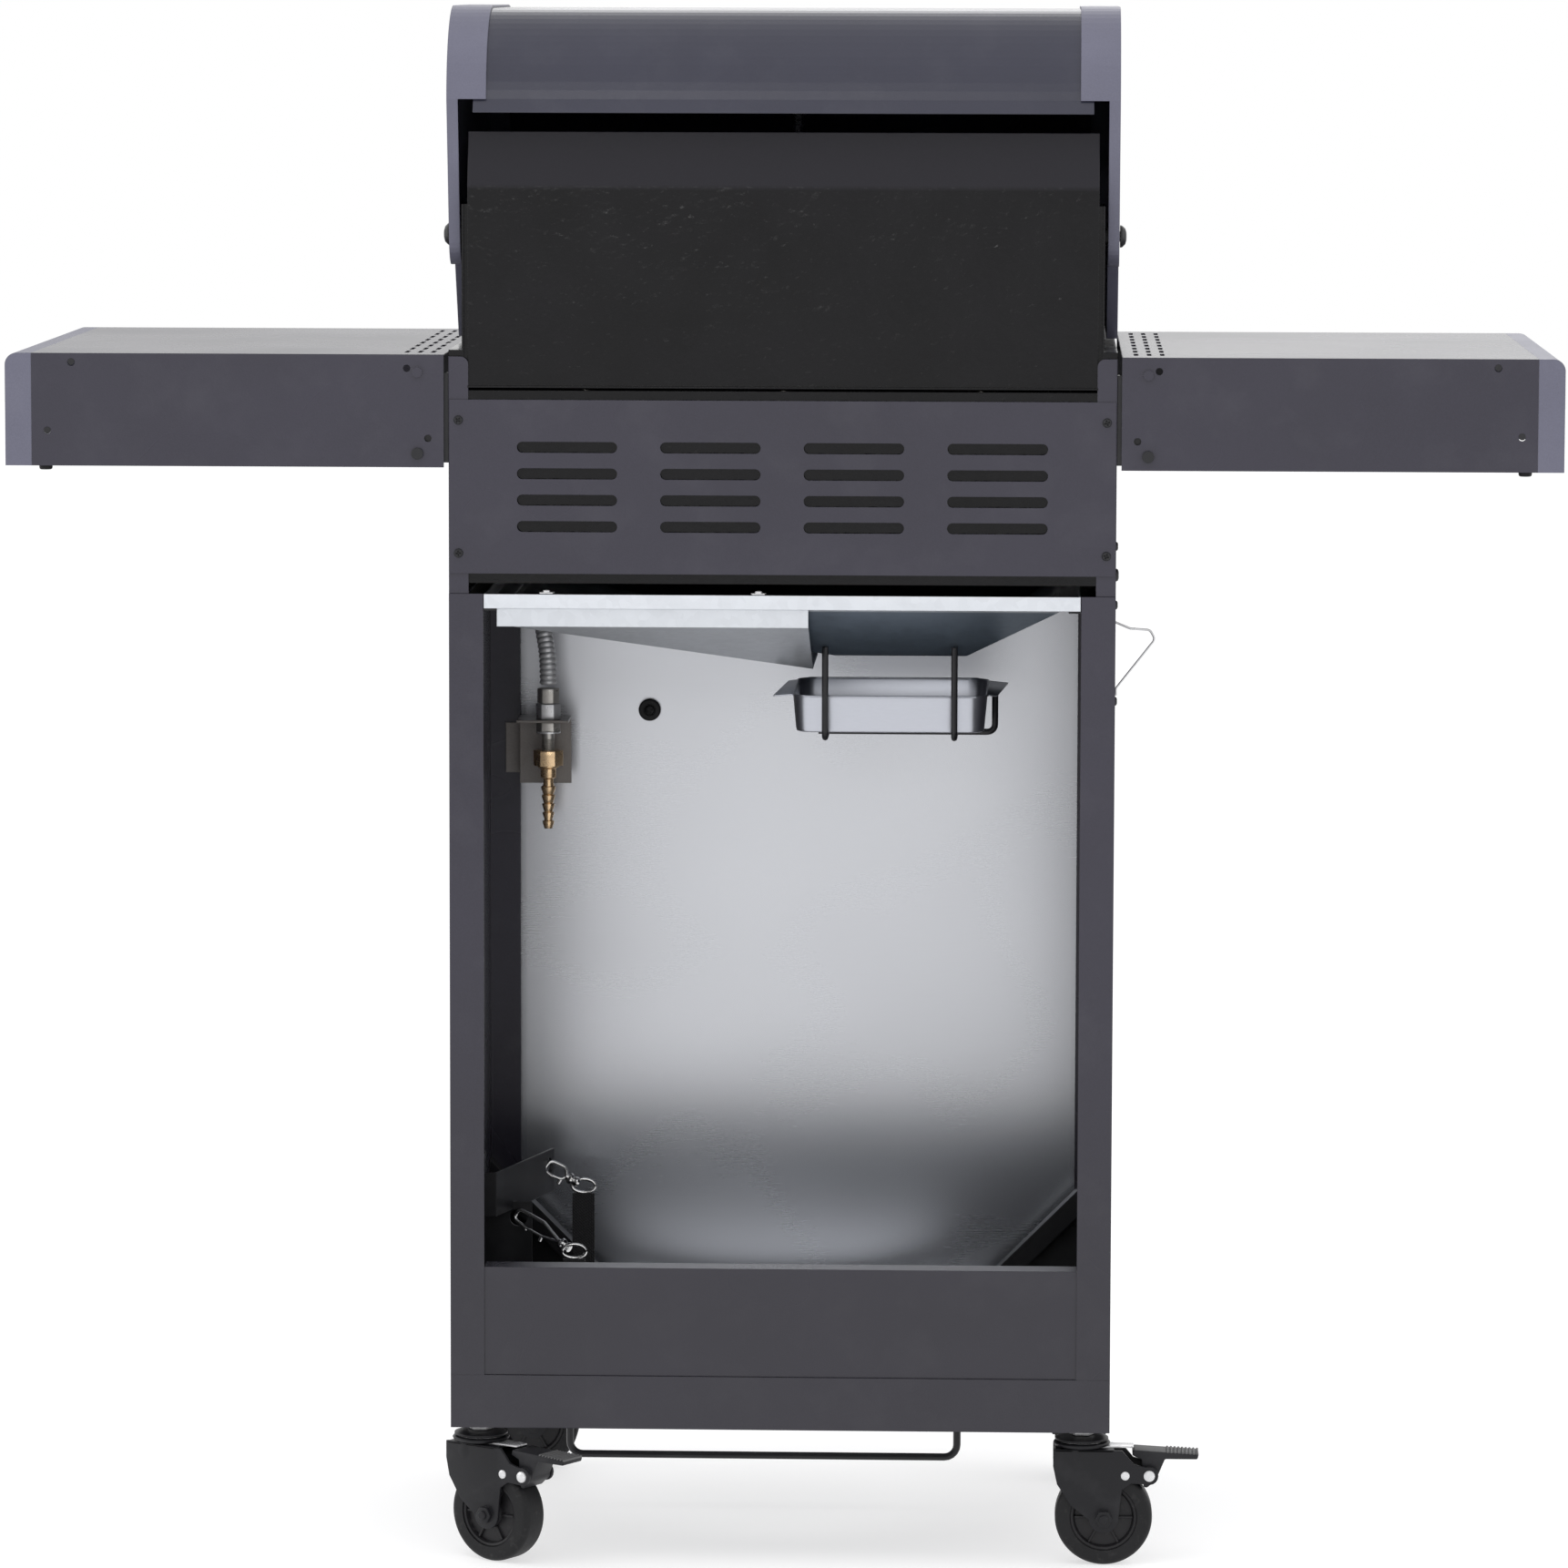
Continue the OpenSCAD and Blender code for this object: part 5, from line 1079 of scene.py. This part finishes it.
class GRILL_OT_studio(Operator):
    """Pale floor, soft lights and the camera that looks at the grill's back"""

    bl_idname = "grill.studio"
    bl_label = "Studio"

    def light(self, name, at, target, size, power, in_gloss=True):
        data = bpy.data.lights.new(name, "AREA")
        data.shape, data.size, data.size_y = "RECTANGLE", size[0], size[1]
        data.energy = power
        lamp = new_object(name, data)
        turn = (Vector(target) - Vector(at)).to_track_quat("-Z", "Y").to_matrix().to_4x4()
        lamp.matrix_world = Matrix.Translation(at) @ turn
        lamp.visible_glossy = in_gloss

    def execute(self, context):
        s = context.scene.grill_studio
        plane = bmesh.new()
        bmesh.ops.create_grid(plane, x_segments=1, y_segments=1, size=s.floor_size / 2)
        data = bpy.data.meshes.new("floor")
        plane.to_mesh(data)
        plane.free()
        floor = new_object("floor", data)
        n = Nodes("floor_paper")
        cloud = n.noise(0.8, 3.0)
        tint = tuple(s.floor_tint)
        tone = n.blend(n.span(cloud, 0.0, 1.0), shade(tint, 0.99), shade(tint, 1.01))
        n.join(tone, n.shader.inputs["Emission Color"])
        grain = n.relief(n.noise(300.0), 0.05, 0.0002)
        n.done(tone, n.span(cloud, 0.7, 0.8), grain, Emission_Strength=s.floor_glow)
        data.materials.append(n.material)
        world = bpy.data.worlds.new("studio")
        world.use_nodes = True
        sky = world.node_tree.nodes["Background"]
        sky.inputs["Color"].default_value = (1.0, 1.0, 1.0, 1)
        sky.inputs["Strength"].default_value = 1.0
        context.scene.world = world
        context.scene.view_settings.view_transform = "Standard"
        self.light("key", (0.6, 1.6, 4.4), (0, 0, 0.7), (3.0, 2.2), s.key_power, False)
        self.light("glint", (0.5, 5.3, 1.85), (0, 0.2, 1.0), (1.0, 0.35), 6.0)
        self.light("left_fill", (3.4, 0.4, 1.7), (0, 0, 0.6), (1.6, 2.4), s.fill_power)
        self.light("right_fill", (-3.4, 0.4, 1.7), (0, 0, 0.6), (1.6, 2.4), s.fill_power)
        self.light("front", (-0.6, -3.4, 2.6), (0, 0, 0.7), (2.4, 2.0), s.fill_power)
        yaw, pitch, roll = (math.radians(a) for a in CAMERA_ANGLES)
        ahead = Vector((math.sin(yaw) * math.cos(pitch), -math.cos(yaw) * math.cos(pitch), -math.sin(pitch)))
        right = ahead.cross(Vector(UP)).normalized()
        up = right.cross(ahead)
        side = right * math.cos(roll) + up * math.sin(roll)
        rise = up * math.cos(roll) - right * math.sin(roll)
        data = bpy.data.cameras.new("camera")
        data.lens, data.sensor_width, data.clip_end = CAMERA_LENS, CAMERA_SENSOR, 100
        camera = new_object("camera", data)
        turn = Matrix((side, rise, -ahead)).transposed().to_4x4()
        camera.matrix_world = Matrix.Translation(CAMERA_AT) @ turn
        context.scene.camera = camera
        return {"FINISHED"}


class GRILL_PT_panel(Panel):
    """Lists the steps that finish the grill"""

    bl_idname = "GRILL_PT_panel"
    bl_label = "Gas barbecue grill"
    bl_space_type = "VIEW_3D"
    bl_region_type = "UI"
    bl_category = "Grill"

    def draw(self, context):
        layout = self.layout
        for name in GROUPS:
            group = getattr(context.scene, name)
            box = layout.box()
            for key in group.bl_rna.properties.keys():
                if key not in ("rna_type", "name"):
                    box.prop(group, key)
        for step in STEPS:
            layout.operator(step.bl_idname)


GROUPS = {
    "grill_finishes": GrillFinishes,
    "grill_casters": CasterSizes,
    "grill_hose": HoseSizes,
    "grill_studio": StudioSizes,
}
STEPS = (
    GRILL_OT_studio, GRILL_OT_gas_inlet, GRILL_OT_bottle_strap, GRILL_OT_casters, GRILL_OT_drip_cup,
    GRILL_OT_tray_details, GRILL_OT_screws, GRILL_OT_lid_fittings, GRILL_OT_controls, GRILL_OT_door_handle,
    GRILL_OT_sheet_metal,
)


def register():
    for group in GROUPS.values():
        bpy.utils.register_class(group)
    for name, group in GROUPS.items():
        setattr(bpy.types.Scene, name, PointerProperty(type=group))
    for step in STEPS:
        bpy.utils.register_class(step)
    bpy.utils.register_class(GRILL_PT_panel)


def unregister():
    bpy.utils.unregister_class(GRILL_PT_panel)
    for step in reversed(STEPS):
        bpy.utils.unregister_class(step)
    for name, group in GROUPS.items():
        delattr(bpy.types.Scene, name)
        bpy.utils.unregister_class(group)


def main():
    register()
    make_finishes()
    for step in STEPS:
        group, name = step.bl_idname.split(".")
        result = getattr(getattr(bpy.ops, group), name)()
        if result != {"FINISHED"}:
            raise RuntimeError(f"{step.bl_label} did not finish")
    bpy.context.view_layer.update()


if __name__ == "__main__":
    main()
